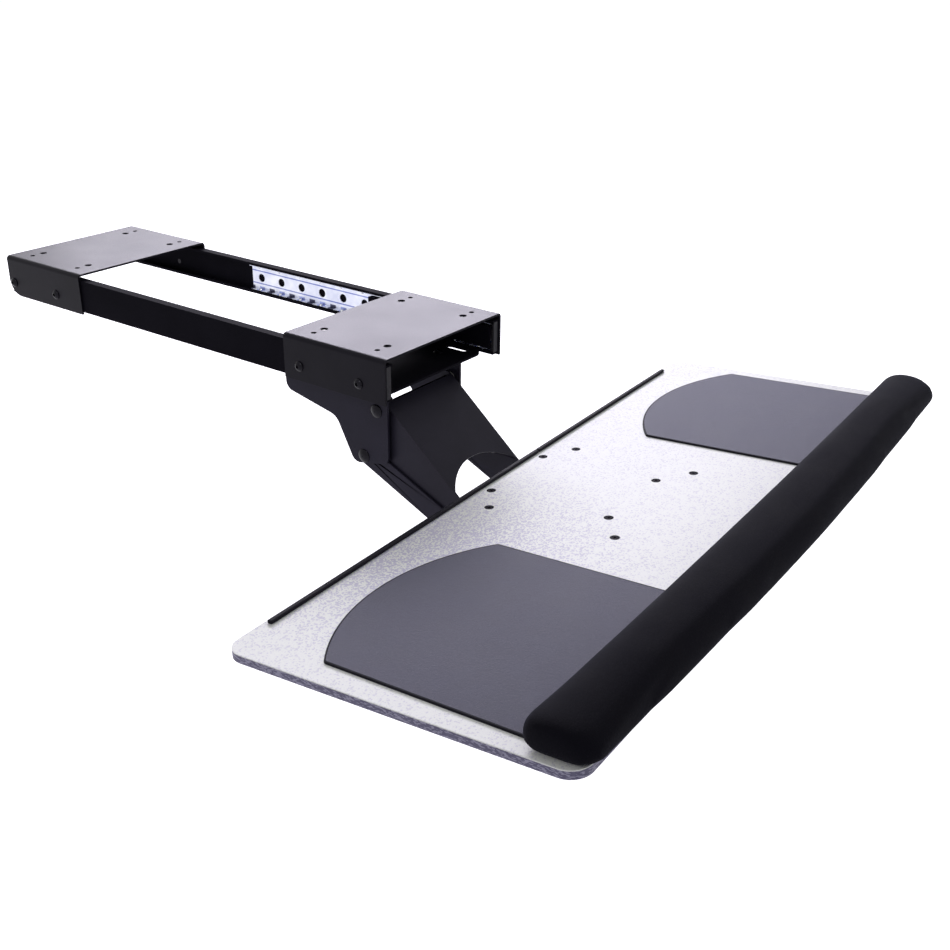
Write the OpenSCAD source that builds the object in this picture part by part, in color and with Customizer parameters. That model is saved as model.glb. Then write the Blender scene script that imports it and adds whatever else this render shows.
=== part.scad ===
// Keyboard tray on a sliding arm that hangs under a desk.
// Millimetres. +Z is up, +Y runs back under the desk and +X is to the user's right.
// The origin is the middle of the front bracket's front edge, on the face that meets the desk.

/* [Desk brackets] */
// Width of each desk bracket
bracket_w = 163; // [155:1:175]
// Front-to-back depth of each desk bracket
bracket_d = 114; // [108:1:124]
// Sheet thickness of the brackets
bracket_t = 2; // [1.5:0.1:3]
// Height of the side flanges
flange_h = 40; // [39:1:46]
// Outside radius of the bend from top to flange
bend_r = 4; // [3:0.5:5]
// Radius of the rear bracket's lower back corners
flange_corner_r = 16; // [4:1:20]
// Length from the front of the front bracket to the back of the rear one
track_len = 504; // [480:2:540]
// Spacing of the two rows of desk screw holes
desk_row = 71.5; // [60:0.5:80]
// Spacing across of the small desk screw holes
small_hole_x = 130.8; // [128:0.1:136]
// Diameter of the small desk screw holes
small_hole_d = 5; // [4:0.1:6]
// Spacing across of the large desk screw holes
large_hole_x = 104.7; // [98:0.1:112]
// Diameter of the large desk screw holes
large_hole_d = 7; // [6:0.1:9]

/* [Rails] */
// Height of the outer rails
rail_h = 32; // [31:0.5:34]
// Depth of the outer rails, from web to lips
rail_depth = 8.5; // [8.5:0.1:9.5]
// Wall of the outer rails
rail_wall = 1.5; // [1.2:0.1:1.6]
// Gap from the desk down to the outer rails
rail_drop = 6; // [5:0.5:6.5]
// Distance of the rails' front ends behind the bracket's front edge
rail_inset = 1; // [0:0.5:2]
// Length of the inner rails
inner_len = 146; // [136:1:156]
// Wall of the inner rails
inner_wall = 1.3; // [1:0.1:1.5]
// Diameter of the bearing balls
ball_d = 3.9; // [3.6:0.1:4]
// Spacing of the bearing balls along the rails
ball_pitch = 28.2; // [26:0.2:32]
// Length of the ball retainers
retainer_len = 309; // [280:1:314]
// Strip thickness of the ball retainers
retainer_t = 0.8; // [0.6:0.1:1]
// Diameter of the round holes along the ball retainers
retainer_hole_d = 8.5; // [4:0.5:10]
// Diameter of the button heads on the bracket sides
rail_screw_head = 9.5; // [8:0.5:11]
// Depth below the desk of the screws in the bracket sides
rail_screw_drop = 26.8; // [22:0.1:28]
// Spacing of the two screws on each bracket side
rail_screw_pitch = 67.5; // [60:0.5:70]

/* [Carriage] */
// Thickness of the carriage plate and the cheeks
plate_t = 2.5; // [2:0.1:3]
// Front edge of the carriage plate behind the bracket's front edge
carriage_front = 10; // [6:0.5:14]
// Corner radius at the front of the carriage plate
carriage_corner_r = 12; // [4:1:14]
// Length of the long holes in the carriage plate
slot_len = 24; // [14:1:30]
// Width of the long holes in the carriage plate
slot_w = 7; // [4:0.5:8]
// Front edge of the cheeks behind the bracket's front edge
cheek_front = 23; // [20:0.5:25]
// Length of the cheeks along the rails
cheek_len = 120; // [110:1:124]
// Depth of the cheeks at their back end
wing_depth = 28; // [24:0.5:32]

/* [Arm] */
// Distance of the upper pivot behind the bracket's front edge
upper_pivot_y = 35.5; // [34:0.5:38]
// Depth of the upper pivot below the desk
upper_pivot_drop = 62.4; // [61:0.2:64]
// Distance from the upper to the lower pivot, along the tray's slide
pivot_step_y = 15.8; // [13:0.2:18]
// Distance from the upper to the lower pivot, downward
pivot_step_z = 46.6; // [45:0.2:50]
// Length of both arms, from pivot to pivot
arm_len = 125; // [118:1:132]
// Slope of both arms below level
arm_slope = 32; // [29:0.5:34]
// Outside width of the upper arm
arm_w = 94; // [88:0.5:98]
// Sheet thickness of the upper arm
arm_t = 2.2; // [1.6:0.1:2.6]
// Slope of the upper arm's top face below level
cover_slope = 40.3; // [39:0.1:42]
// Length of the upper arm's top face
cover_len = 101; // [92:1:104]
// Depth of the round notch in the upper arm's top face
notch_depth = 23.6; // [10:0.2:30]
// Height of the upper arm's top face over its pivot
cover_rise = 8.8; // [7.5:0.1:9.5]
// Thickness of the lower links
link_t = 2; // [1.5:0.1:2.4]
// Half the height of the lower links
link_r = 10; // [8:0.25:10.5]
// Thickness of the slip washers between the lower links and the cheeks
link_washer_t = 0.4; // [0.3:0.1:1.5]
// Diameter of the pivot pins
pin_d = 8; // [6:0.5:9]
// Diameter of the heads of the pivot pins
pin_head_d = 12.5; // [11:0.5:14]
// Height of the heads of the pivot pins
pin_head_h = 2.6; // [1.5:0.1:3]

/* [Head] */
// Distance of the tilt axis in front of the arm's front pivot
tilt_ahead = 29.5; // [27:0.5:33]
// Distance of the clamp bolt below the tilt axis
clamp_drop = 26; // [24:0.5:30]
// Diameter of the clamp bolt
clamp_d = 7; // [6:0.5:8]
// Tilt down of the tray, from its rest pose, in degrees
tilt_down = 13.5; // [5:0.5:14]
// Tilt up of the tray, from its rest pose, in degrees
tilt_up = 2.5; // [1:0.5:6]
// Diameter of the clamp knob
knob_d = 42; // [34:1:46]
// Thickness of the clamp knob
knob_t = 16; // [12:1:20]

/* [Tray] */
// Width of the tray board
tray_w = 686; // [660:2:720]
// Depth of the tray board
tray_d = 270; // [262:1:286]
// Thickness of the tray board with its top layer
tray_t = 6.4; // [6:0.1:8]
// Thickness of the pale top layer
laminate_t = 0.8; // [0.6:0.1:1.2]
// Corner radius of the tray board
tray_r = 15; // [10:1:40]
// Slope of the tray, front edge up, in degrees
tray_slope = 3.5; // [2:0.1:4.5]
// Turn of the tray on its swivel, in degrees
tray_turn = 2.8; // [-5:0.1:5]
// Distance of the swivel in front of the tray's back edge
swivel_inset = 75; // [72:0.5:80]
// Depth of the tray's top at the swivel below the desk
tray_drop = 102.9; // [100:0.1:104]
// Distance of the swivel in front of the bracket's front edge
swivel_ahead = 140.4; // [136:0.1:146]
// Spacing across of the tray screws near the middle
inner_screw_x = 84; // [76:0.5:92]
// Spacing across of the tray screws further out
outer_screw_x = 142.5; // [134:0.5:150]
// Distance of the first row of inner tray screws from the back edge
inner_screw_v = 15; // [13:0.5:18]
// Spacing of the two rows of inner tray screws
inner_screw_row = 111; // [100:0.5:120]
// Distance of the first row of outer tray screws from the back edge
outer_screw_v = 32; // [28:0.5:38]
// Spacing of the two rows of outer tray screws
outer_screw_row = 115; // [100:0.5:120]
// Thread diameter of the tray screws
tray_screw_d = 4; // [3:0.5:5]
// Head diameter of the tray screws
tray_screw_head = 8; // [6:0.5:9]

/* [Pads and palm rest] */
// Thickness of the two mouse pads
pad_t = 1.8; // [1:0.1:3]
// Width of each mouse pad
pad_w = 195.5; // [170:0.5:205]
// Distance of the pads' outer edges from the sides of the tray
pad_side = 17.5; // [15:0.5:33]
// Radius of the pads' round back edge
pad_arc_r = 160; // [140:1:300]
// Distance of the pads' back edge from the tray's back edge
pad_back = 39.5; // [30:0.5:60]
// Distance of the rubber strip's ends from the sides of the tray
strip_side = 40; // [33:1:63]
// Width of the rubber strip
strip_w = 4.5; // [3:0.5:6]
// Height of the rubber strip
strip_h = 3; // [1:0.5:5]
// Distance of the joint in the strip from the middle of the tray
strip_joint = 48.6; // [0:0.1:100]
// Distance of the palm rest's ends from the sides of the tray
palm_side = 1; // [0:0.5:20]
// Distance of the palm rest's back edge from the tray's back edge
palm_back = 226; // [222:0.5:230]
// Depth of the palm rest at its middle
palm_d = 61.5; // [50:0.5:64]
// Height of the palm rest
palm_h = 26; // [18:0.5:30]
// Amount by which the palm rest's front edge draws back at its ends
palm_bow = 11.5; // [0:0.5:14]

/* [Hidden] */
$fn = 48;

// Clearances
fit = 0.1;
running = 0.05;
side_play = 0.5;
seat = 0.3;

// Rail section, worked out from the bracket inwards for the right side
rail_x = bracket_w/2 - bracket_t;
rail_top = -rail_drop;
rail_mid = rail_top - rail_h/2;
rail_len = track_len - 2*rail_inset;
lip_x = rail_x - rail_depth;
lip_t = 1.2;
lip_h = 1.2;
race_gap = ball_d + 2*running;
inner_h = rail_h - 2*(rail_wall + race_gap);
inner_proud = 0.6;
inner_x = lip_x - inner_proud;
retainer_x = rail_x - rail_wall - side_play;
inner_depth = retainer_x - retainer_t - side_play - inner_x;
ball_x = lip_x + lip_t + running + ball_d/2 + 0.2;
ball_z = rail_h/2 - rail_wall - race_gap/2;
stop_t = 2.8;
inner_front = rail_inset + stop_t + 0.2;
retainer_front = inner_front + 1;
window_d = ball_d + 0.4;
ball_count = floor((retainer_len - ball_pitch/2 - window_d)/ball_pitch) + 1;
rail_screw_d = 5;
rail_screw_head_h = 2.8;
front_screw_y = 29;
rear_screw_y = track_len - bracket_d + 39;

// Carriage
carriage_w = 2*inner_x;
carriage_bottom = rail_top - rail_h;
carriage_top = carriage_bottom + plate_t;
carriage_rear = inner_front + inner_len - 4;
side_flange_start = carriage_front + 38;
side_flange_h = rail_h - rail_wall - race_gap - 1.5;
carriage_screw_d = 4;
carriage_screw_head = 7;
carriage_screw_head_h = 2;
carriage_screw_ys = [side_flange_start + 10, (side_flange_start + carriage_rear)/2, carriage_rear - 10];
slot_x = carriage_w/2 - 10;
slot_front = carriage_front + carriage_corner_r;
arm_x = arm_w/2;
link_x = arm_x + side_play;
cheek_x = link_x + link_t + link_washer_t + fit;
cheek_rear = cheek_front + cheek_len;
cheek_flange_w = 20;
cheek_bolt_d = 5;
cheek_bolt_head = 9;
cheek_bolt_head_h = 2.6;
cheek_nut_across = 8;
cheek_nut_h = 4;
cheek_bolt_x = cheek_x - cheek_flange_w/2;
cheek_bolt_ys = [cheek_front + 17, cheek_front + cheek_len/2, cheek_rear - 13];

// Pivots as [y, z]; the two arms are parallel, so the front pivots follow from the rear ones
arm_step = arm_len*[-cos(arm_slope), -sin(arm_slope)];
pivot_au = [upper_pivot_y, -upper_pivot_drop];
pivot_al = pivot_au + [pivot_step_y, -pivot_step_z];
pivot_bu = pivot_au + arm_step;
pivot_bl = pivot_al + arm_step;
ear_r = 7;
knee = pivot_al + arm_len*[-0.698, -0.318];
wall_foot_rear = pivot_al - [1.35*pivot_step_y, 0.236*pivot_step_z];
wall_foot_front = pivot_bu + arm_len*[0.18, -0.171];
wall_dip_y = pivot_bu.x + ear_r + 4;
spacer_r = pin_d/2 + 2;

// Head
tilt_axis = pivot_bu + [-tilt_ahead, 0.6];
clamp_at = tilt_axis + [0, -clamp_drop];
head_r = 10;
head_top = 7;
ear_x = cheek_x + plate_t + side_play;
ear_t = 2.5;
web_y = pivot_bu.x - 15.5;
clamp_right = ear_x + ear_t + 1.5;

// Tray, in its own frame: origin on the top face at the swivel, +Y to the back edge
swivel_at = [0, -swivel_ahead, -tray_drop];
swivel_plate_t = 2.5;
swivel_plate_w = outer_screw_x + 22;
swivel_plate_d = outer_screw_v + outer_screw_row - inner_screw_v + 12;
glide_t = 1;
glide_r = (inner_screw_x - 8)/2;
tilt_plate_t = 2.5;
post_r = 8;
post_thread_r = 4;
glide_z = -tray_t - swivel_plate_t;
tilt_plate_z = glide_z - glide_t;
tilt_plate_back = 54;
tilt_plate_front = -50;
swivel_washer_t = 1.6;
swivel_nut_h = 6.5;
strip_len = tray_w - 2*strip_side;
pad_outer = tray_w/2 - pad_side;
palm_len = tray_w - 2*palm_side;
palm_base_t = 1.5;
pad_front = palm_back + 6;
palm_gap = 0.3;

function unit(v) = v/norm(v);
function turned(v) = [-v.y, v.x];
// Replaces the corner p, given as [y, z, radius], by an arc that touches both of its edges
function rounded_corner(before, p, after) =
    p.z == 0 ? [[p.x, p.y]] :
    let (
        a = unit([before.x - p.x, before.y - p.y]),
        b = unit([after.x - p.x, after.y - p.y]),
        half = acos(a*b)/2,
        centre = [p.x, p.y] + unit(a + b)*p.z/sin(half),
        start = [p.x, p.y] + a*p.z/tan(half) - centre,
        side = cross(a, b) > 0 ? -1 : 1,
        steps = ceil((180 - 2*half)/12)
    )
    [for (i = [0:steps]) let (t = side*(180 - 2*half)*i/steps)
        centre + [start.x*cos(t) - start.y*sin(t), start.x*sin(t) + start.y*cos(t)]];
function rounded_outline(c) =
    [for (i = [0:len(c) - 1]) each rounded_corner(c[(i + len(c) - 1) % len(c)], c[i], c[(i + 1) % len(c)])];
// Outline of a strap of half width r that runs from a over the bend k to b
function strap(a, k, b, r) =
    let (
        u = unit(k - a),
        w = unit(b - k),
        m = (turned(u) + turned(w))/(1 + turned(u)*turned(w)),
        e = 0.98*r
    )
    [for (p = [
        [a - r*u + r*turned(u), e], [k + r*m, r], [b + r*w + r*turned(w), e],
        [b + r*w - r*turned(w), e], [k - r*m, 2*r], [a - r*u - r*turned(u), e]])
        [p[0].x, p[0].y, p[1]]];

// Places a shape made for the right side on the left
module left() {
    mirror([1, 0, 0]) children();
}

module both() {
    children();
    left() children();
}

// Extrudes a [y, z] shape along X from x0 to x1
module along_x(x0, x1) {
    translate([x0, 0, 0]) rotate([90, 0, 90]) linear_extrude(x1 - x0) children();
}

// Round bar along X through the [y, z] point p
module bar_x(p, x0, x1, r) {
    translate([x0, p.x, p.y]) rotate([0, 90, 0]) cylinder(h = x1 - x0, r = r);
}

// Domed head that rises along +Z: a low rim under part of a ball
module dome(d, h) {
    rim = h/4;
    rise = h - rim;
    ball_r = (d*d/4 + rise*rise)/(2*rise);
    cylinder(h = rim, d = d);
    intersection() {
        translate([0, 0, h - ball_r]) sphere(r = ball_r);
        translate([0, 0, rim]) cylinder(h = h, r = d);
    }
}

// The same along +X from x0
module dome_x(p, x0, d, h) {
    translate([x0, p.x, p.y]) rotate([0, 90, 0]) dome(d, h);
}

module hexagon(across, h) {
    cylinder(h = h, d = across/cos(30), $fn = 6);
}

module rounded_rect(w, d, r) {
    square([w - 2*r, d], center = true);
    square([w, d - 2*r], center = true);
    for (x = [-1, 1], y = [-1, 1]) translate([x*(w/2 - r), y*(d/2 - r)]) circle(r);
}

// Desk bracket with its front edge at y0 and corners of radius r at the bottom of the back edge
module bracket(y0, r) {
    difference() {
        translate([0, y0 + bracket_d, 0]) rotate([90, 0, 0]) linear_extrude(bracket_d) difference() {
            union() {
                translate([-bracket_w/2 + bend_r, -bend_r]) square([bracket_w - 2*bend_r, bend_r]);
                translate([-bracket_w/2, -flange_h]) square([bracket_w, flange_h - bend_r]);
                for (s = [-1, 1]) translate([s*(bracket_w/2 - bend_r), -bend_r]) circle(bend_r);
            }
            translate([-rail_x, -flange_h - 1]) square([2*rail_x, flange_h + 1 - bend_r]);
            translate([-bracket_w/2 + bend_r, -flange_h]) square([bracket_w - 2*bend_r, flange_h - bracket_t]);
            for (s = [-1, 1]) translate([s*(bracket_w/2 - bend_r), -bend_r]) circle(bend_r - bracket_t);
        }
        for (y = [-desk_row/2, desk_row/2]) translate([0, y0 + bracket_d/2 + y, -bracket_t - 1]) both() {
            translate([small_hole_x/2, 0, 0]) cylinder(h = bracket_t + 2, d = small_hole_d);
            translate([large_hole_x/2, 0, 0]) cylinder(h = bracket_t + 2, d = large_hole_d);
        }
        if (r > 0) both() along_x(rail_x - 1, bracket_w/2 + 1) difference() {
            translate([y0 + bracket_d - r, -flange_h - 1]) square([r + 1, r + 1]);
            translate([y0 + bracket_d - r, -flange_h + r]) circle(r);
        }
        rail_screw_holes();
    }
}

// The eight places, as [y, z], are the same on both sides
rail_screw_places = [for (y = [front_screw_y, rear_screw_y], k = [0, 1]) [y + k*rail_screw_pitch, -rail_screw_drop]];

module rail_screw_holes() {
    both() for (p = rail_screw_places) bar_x(p, rail_x - rail_wall - 1, bracket_w/2 + 1, rail_screw_d/2);
}

module front_bracket() {
    color("dimgray") bracket(0, 0);
}

module rear_bracket() {
    color("dimgray") bracket(track_len - bracket_d, flange_corner_r);
}

module outer_rail() {
    color("#26262e") difference() {
        translate([0, rail_inset + rail_len, 0]) rotate([90, 0, 0]) linear_extrude(rail_len) {
            translate([rail_x - rail_wall, rail_top - rail_h]) square([rail_wall, rail_h]);
            for (z = [rail_top - rail_wall, rail_top - rail_h]) translate([lip_x, z]) square([rail_depth, rail_wall]);
            translate([lip_x, rail_top - rail_wall - lip_h]) square([lip_t, lip_h + rail_wall]);
            translate([lip_x, rail_top - rail_h]) square([lip_t, lip_h + rail_wall]);
        }
        rail_screw_holes();
    }
}

module outer_rail_left() {
    left() outer_rail();
}

module outer_rail_right() {
    outer_rail();
}

module rail_screws() {
    color("#3a3a44") both() for (p = rail_screw_places) difference() {
        union() {
            bar_x(p, rail_x - rail_wall, bracket_w/2 + rail_screw_head_h/2, rail_screw_d/2 - running);
            dome_x(p, bracket_w/2, rail_screw_head, rail_screw_head_h);
        }
        translate([bracket_w/2 + rail_screw_head_h/2, p.x, p.y]) rotate([0, 90, 0])
            cylinder(h = rail_screw_head_h, d = 3.4, $fn = 6);
    }
}

module rail_end_stops() {
    color("#1b1b20") both() for (y = [rail_inset, rail_inset + rail_len - stop_t])
        translate([lip_x + lip_t + fit, y, rail_top - rail_h + rail_wall + fit])
            cube([rail_depth - lip_t - rail_wall - 2*fit, stop_t, rail_h - 2*rail_wall - 2*fit]);
}

// Place of a pair of balls along the rails
function ball_y(i) = retainer_front + ball_pitch*(i + 0.5);

// Strip that carries the balls: a tall web with holes and a perforated edge above and below
module ball_retainer() {
    edge_x = lip_x + lip_t + 0.5;
    color("lightsteelblue") difference() {
        union() {
            translate([retainer_x - retainer_t, retainer_front, rail_mid - ball_z - retainer_t/2])
                cube([retainer_t, retainer_len, 2*ball_z + retainer_t]);
            for (z = [-ball_z, ball_z]) translate([edge_x, retainer_front, rail_mid + z - retainer_t/2])
                cube([retainer_x - edge_x, retainer_len, retainer_t]);
        }
        for (i = [0:ball_count - 1]) translate([0, ball_y(i), rail_mid]) {
            translate([ball_x, 0, -rail_h/2]) cylinder(h = rail_h, d = window_d);
            if (i > 0) translate([ball_x, -ball_pitch/2, -rail_h/2]) cylinder(h = rail_h, d = 0.6*window_d);
            translate([retainer_x - retainer_t - 1, 0, 0]) rotate([0, 90, 0])
                cylinder(h = retainer_t + 2, d = retainer_hole_d);
        }
    }
}

module ball_retainer_left() {
    left() ball_retainer();
}

module ball_retainer_right() {
    ball_retainer();
}

module bearing_balls() {
    color("silver") for (i = [0:ball_count - 1], z = [-ball_z, ball_z])
        translate([ball_x, ball_y(i), rail_mid + z]) sphere(d = ball_d);
}

module bearing_balls_left() {
    left() bearing_balls();
}

module bearing_balls_right() {
    bearing_balls();
}

module carriage_screw_holes() {
    both() for (y = carriage_screw_ys)
        bar_x([y, rail_mid], inner_x - plate_t - 1, inner_x + inner_wall + 1, carriage_screw_d/2);
}

module inner_rail() {
    color("#26262e") difference() {
        translate([0, inner_front + inner_len, 0]) rotate([90, 0, 0]) linear_extrude(inner_len) {
            translate([inner_x, rail_mid - inner_h/2]) square([inner_wall, inner_h]);
            for (z = [inner_h/2 - inner_wall, -inner_h/2])
                translate([inner_x, rail_mid + z]) square([inner_depth, inner_wall]);
        }
        carriage_screw_holes();
    }
}

module inner_rail_left() {
    left() inner_rail();
}

module inner_rail_right() {
    inner_rail();
}

module cheek_bolt_holes(d) {
    both() for (y = cheek_bolt_ys) translate([cheek_bolt_x, y, carriage_bottom - plate_t - 1])
        cylinder(h = 2*plate_t + 2, d = d);
}

// Plate between the inner rails, with side flanges that stand up against them
module carriage_plate() {
    front = [for (s = [[-1, carriage_corner_r], [1, carriage_corner_r]]) [s[0]*carriage_w/2, carriage_front, s[1]]];
    rear = [for (s = [1, -1]) [s*carriage_w/2, carriage_rear, 0]];
    color("#24242b") difference() {
        union() {
            translate([0, 0, carriage_bottom]) linear_extrude(plate_t) polygon(rounded_outline(concat(front, rear)));
            both() translate([inner_x - plate_t, side_flange_start, carriage_bottom])
                cube([plate_t, carriage_rear - side_flange_start, side_flange_h]);
        }
        both() translate([slot_x, slot_front, carriage_bottom - 1]) linear_extrude(plate_t + 2) {
            translate([-slot_w/2, slot_w/2]) square([slot_w, slot_len - slot_w]);
            translate([0, slot_w/2]) circle(d = slot_w);
            translate([0, slot_len - slot_w/2]) circle(d = slot_w);
        }
        carriage_screw_holes();
        cheek_bolt_holes(cheek_bolt_d);
    }
}

module carriage_screws() {
    color("#3a3a44") both() for (y = carriage_screw_ys) {
        bar_x([y, rail_mid], inner_x - plate_t, inner_x + inner_wall + 1, carriage_screw_d/2 - fit/2);
        left() dome_x([y, rail_mid], plate_t - inner_x, carriage_screw_head, carriage_screw_head_h);
    }
}

// Hanging side plate with a bolting flange along its top
module cheek() {
    outline = [
        [cheek_front, carriage_bottom, 0], [cheek_front, pivot_al.y - 1, 8],
        [pivot_al.x + 0.9*pin_head_d, pivot_al.y - 0.74*pin_head_d, 9],
        [pivot_al.x + 2*pivot_step_y, pivot_al.y + 0.65*pivot_step_z, 14],
        [cheek_rear, carriage_bottom - wing_depth, 9], [cheek_rear, carriage_bottom, 0]];
    color("#2b2b33") difference() {
        union() {
            along_x(cheek_x, cheek_x + plate_t) polygon(rounded_outline(outline));
            translate([cheek_x - cheek_flange_w, cheek_front, carriage_bottom - plate_t])
                cube([cheek_flange_w + plate_t, cheek_len, plate_t]);
        }
        bar_x(pivot_au, cheek_x - 1, cheek_x + plate_t + 1, pin_d/2);
        bar_x(pivot_al, cheek_x - 1, cheek_x + plate_t + 1, pin_d/2);
        cheek_bolt_holes(cheek_bolt_d);
    }
}

module cheek_left() {
    left() cheek();
}

module cheek_right() {
    cheek();
}

module cheek_bolts() {
    reach = 2*plate_t + cheek_nut_h + 0.5;
    color("#3a3a44") both() for (y = cheek_bolt_ys) translate([cheek_bolt_x, y, carriage_top]) {
        translate([0, 0, -reach]) cylinder(h = reach, d = cheek_bolt_d - fit);
        dome(cheek_bolt_head, cheek_bolt_head_h);
    }
}

module cheek_nuts() {
    nut_z = carriage_bottom - plate_t - cheek_nut_h;
    color("silver") both() for (y = cheek_bolt_ys) translate([cheek_bolt_x, y, nut_z]) difference() {
        hexagon(cheek_nut_across, cheek_nut_h);
        translate([0, 0, -1]) cylinder(h = cheek_nut_h + 2, d = cheek_bolt_d);
    }
}

// Pin with a domed head outside each of two side plates whose outer faces are at x
module through_shaft(p, x) {
    bar_x(p, -x, x, pin_d/2 - running);
    both() dome_x(p, x, pin_head_d, pin_head_h);
}

// Short pin at each side, from the lower link's inner face to a domed head
module stub_pins(p, x) {
    both() {
        bar_x(p, link_x, x, pin_d/2 - running);
        dome_x(p, x, pin_head_d, pin_head_h);
    }
}

module rear_pivot_shaft() {
    color("#55555f") through_shaft(pivot_au, cheek_x + plate_t);
}

module rear_link_pins() {
    color("#55555f") stub_pins(pivot_al, cheek_x + plate_t);
}

// Channel with a sloping top face and two deep walls that rise to ears round the front pivot
module upper_arm() {
    down = [-cos(cover_slope), -sin(cover_slope)];
    outward = [down.y, -down.x];
    crown = pivot_au - cover_rise*down + cover_rise*outward;
    heel = pivot_au - cover_rise*down - cover_rise*outward;
    dip = crown + down*(wall_dip_y - crown.x)/down.x;
    outline = [
        [crown.x, crown.y, 0.98*cover_rise], [dip.x, dip.y, 4],
        [pivot_bu.x + ear_r, pivot_bu.y + ear_r, 0.9*ear_r],
        [pivot_bu.x - ear_r, pivot_bu.y + ear_r, 0.95*ear_r], [pivot_bu.x - ear_r, pivot_bu.y - ear_r, 0.95*ear_r],
        [wall_foot_front.x, wall_foot_front.y, 10], [wall_foot_rear.x, wall_foot_rear.y, 8],
        [heel.x, heel.y, 0.98*cover_rise]];
    notch_r = (arm_x*arm_x + notch_depth*notch_depth)/(2*notch_depth);
    color("#3a3a42") difference() {
        union() {
            both() along_x(arm_x - arm_t, arm_x) polygon(rounded_outline(outline));
            translate([0, pivot_au.x, pivot_au.y]) rotate([cover_slope, 0, 0]) difference() {
                translate([-arm_x, -cover_len, cover_rise - arm_t]) cube([arm_w, cover_len, arm_t]);
                translate([0, -cover_len + notch_depth - notch_r, 0]) cylinder(h = cover_rise + 1, r = notch_r);
            }
        }
        bar_x(pivot_au, -arm_x - 1, arm_x + 1, pin_d/2);
        bar_x(pivot_bu, -arm_x - 1, arm_x + 1, pin_d/2);
    }
}

// Collars that centre the upper arm between the cheeks and inside the head
module pivot_bushes() {
    color("#d8d4c8") both() for (p = [pivot_au, pivot_bu]) difference() {
        bar_x(p, arm_x, cheek_x - fit, pin_d/2 + 3);
        bar_x(p, arm_x - 1, cheek_x + 1, pin_d/2);
    }
}

module lower_link() {
    color("#34343d") difference() {
        along_x(link_x, link_x + link_t) polygon(rounded_outline(strap(pivot_al, knee, pivot_bl, link_r)));
        bar_x(pivot_al, link_x - 1, link_x + link_t + 1, pin_d/2);
        bar_x(pivot_bl, link_x - 1, link_x + link_t + 1, pin_d/2 + fit);
    }
}

module lower_link_left() {
    left() lower_link();
}

module lower_link_right() {
    lower_link();
}

// Tube that ties the front ends of the two links together round the front link shaft
module link_spacer() {
    color("#34343d") difference() {
        bar_x(pivot_bl, -link_x, link_x, spacer_r);
        bar_x(pivot_bl, -link_x - 1, link_x + 1, pin_d/2 + fit);
    }
}

// Thin slip washers on the outside of the lower links
module link_washers() {
    x0 = link_x + link_t;
    color("#d8d4c8") both() for (p = [pivot_al, pivot_bl]) difference() {
        bar_x(p, x0, cheek_x - fit, pin_d/2 + 2.5);
        bar_x(p, x0 - 1, cheek_x + 1, pin_d/2 + fit);
    }
}

// Two side plates and a cross web that join the arm, the links and the tilt plate
module head_bracket() {
    outline = [
        [pivot_bu.x + head_r, pivot_bu.y + head_top, head_top], [tilt_axis.x - head_r, tilt_axis.y + head_top, head_top],
        [clamp_at.x - head_r, clamp_at.y - head_r, 0.9*head_r], [pivot_bl.x - 6, pivot_bl.y - head_r, 0.9*head_r],
        [pivot_bl.x + head_r + 2, pivot_bl.y - 4, 0.9*head_r]];
    color("#2b2b33") difference() {
        union() {
            both() along_x(cheek_x, cheek_x + plate_t) polygon(rounded_outline(outline));
            translate([-cheek_x, web_y - plate_t, clamp_at.y - 4])
                cube([2*cheek_x, plate_t, tilt_axis.y - 6 - (clamp_at.y - 4)]);
        }
        for (p = [pivot_bu, pivot_bl, tilt_axis])
            bar_x(p, -cheek_x - plate_t - 1, cheek_x + plate_t + 1, pin_d/2);
        bar_x(clamp_at, -cheek_x - plate_t - 1, cheek_x + plate_t + 1, clamp_d/2);
    }
}

module front_pivot_shaft() {
    color("#55555f") bar_x(pivot_bu, -cheek_x - plate_t, cheek_x + plate_t, pin_d/2 - running);
}

module front_link_shaft() {
    color("#55555f") bar_x(pivot_bl, -cheek_x - plate_t, cheek_x + plate_t, pin_d/2 - running);
}

module tilt_bolt() {
    color("#55555f") through_shaft(tilt_axis, ear_x + ear_t);
}

module clamp_bolt() {
    color("silver") {
        bar_x(clamp_at, -ear_x - ear_t, clamp_right + knob_t - 4, clamp_d/2 - running);
        left() dome_x(clamp_at, ear_x + ear_t, 2*clamp_d, 3);
    }
}

module clamp_washers() {
    color("silver") difference() {
        bar_x(clamp_at, ear_x + ear_t, clamp_right - fit, clamp_d);
        bar_x(clamp_at, ear_x, clamp_right + 1, clamp_d/2);
    }
}

module in_tray_frame() {
    translate(swivel_at) rotate([-tray_slope, 0, 0]) children();
}

// The same, turned with the tray
module on_tray() {
    in_tray_frame() rotate([0, 0, tray_turn]) children();
}

// Curved slot that lets the clamp bolt pass while the tray tilts about the tilt axis
module clamp_slot() {
    half = clamp_d/2 + 0.2;
    under = -90;
    low = under - tilt_down - 0.5;
    high = under + tilt_up + 0.5;
    steps = 8;
    angles = [for (i = [0:steps]) low + (high - low)*i/steps];
    polygon(concat(
        [for (a = angles) (clamp_drop + half)*[cos(a), sin(a)]],
        [for (i = [steps:-1:0]) (clamp_drop - half)*[cos(angles[i]), sin(angles[i])]]));
    for (a = [low, high]) translate(clamp_drop*[cos(a), sin(a)]) circle(half);
}

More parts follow.
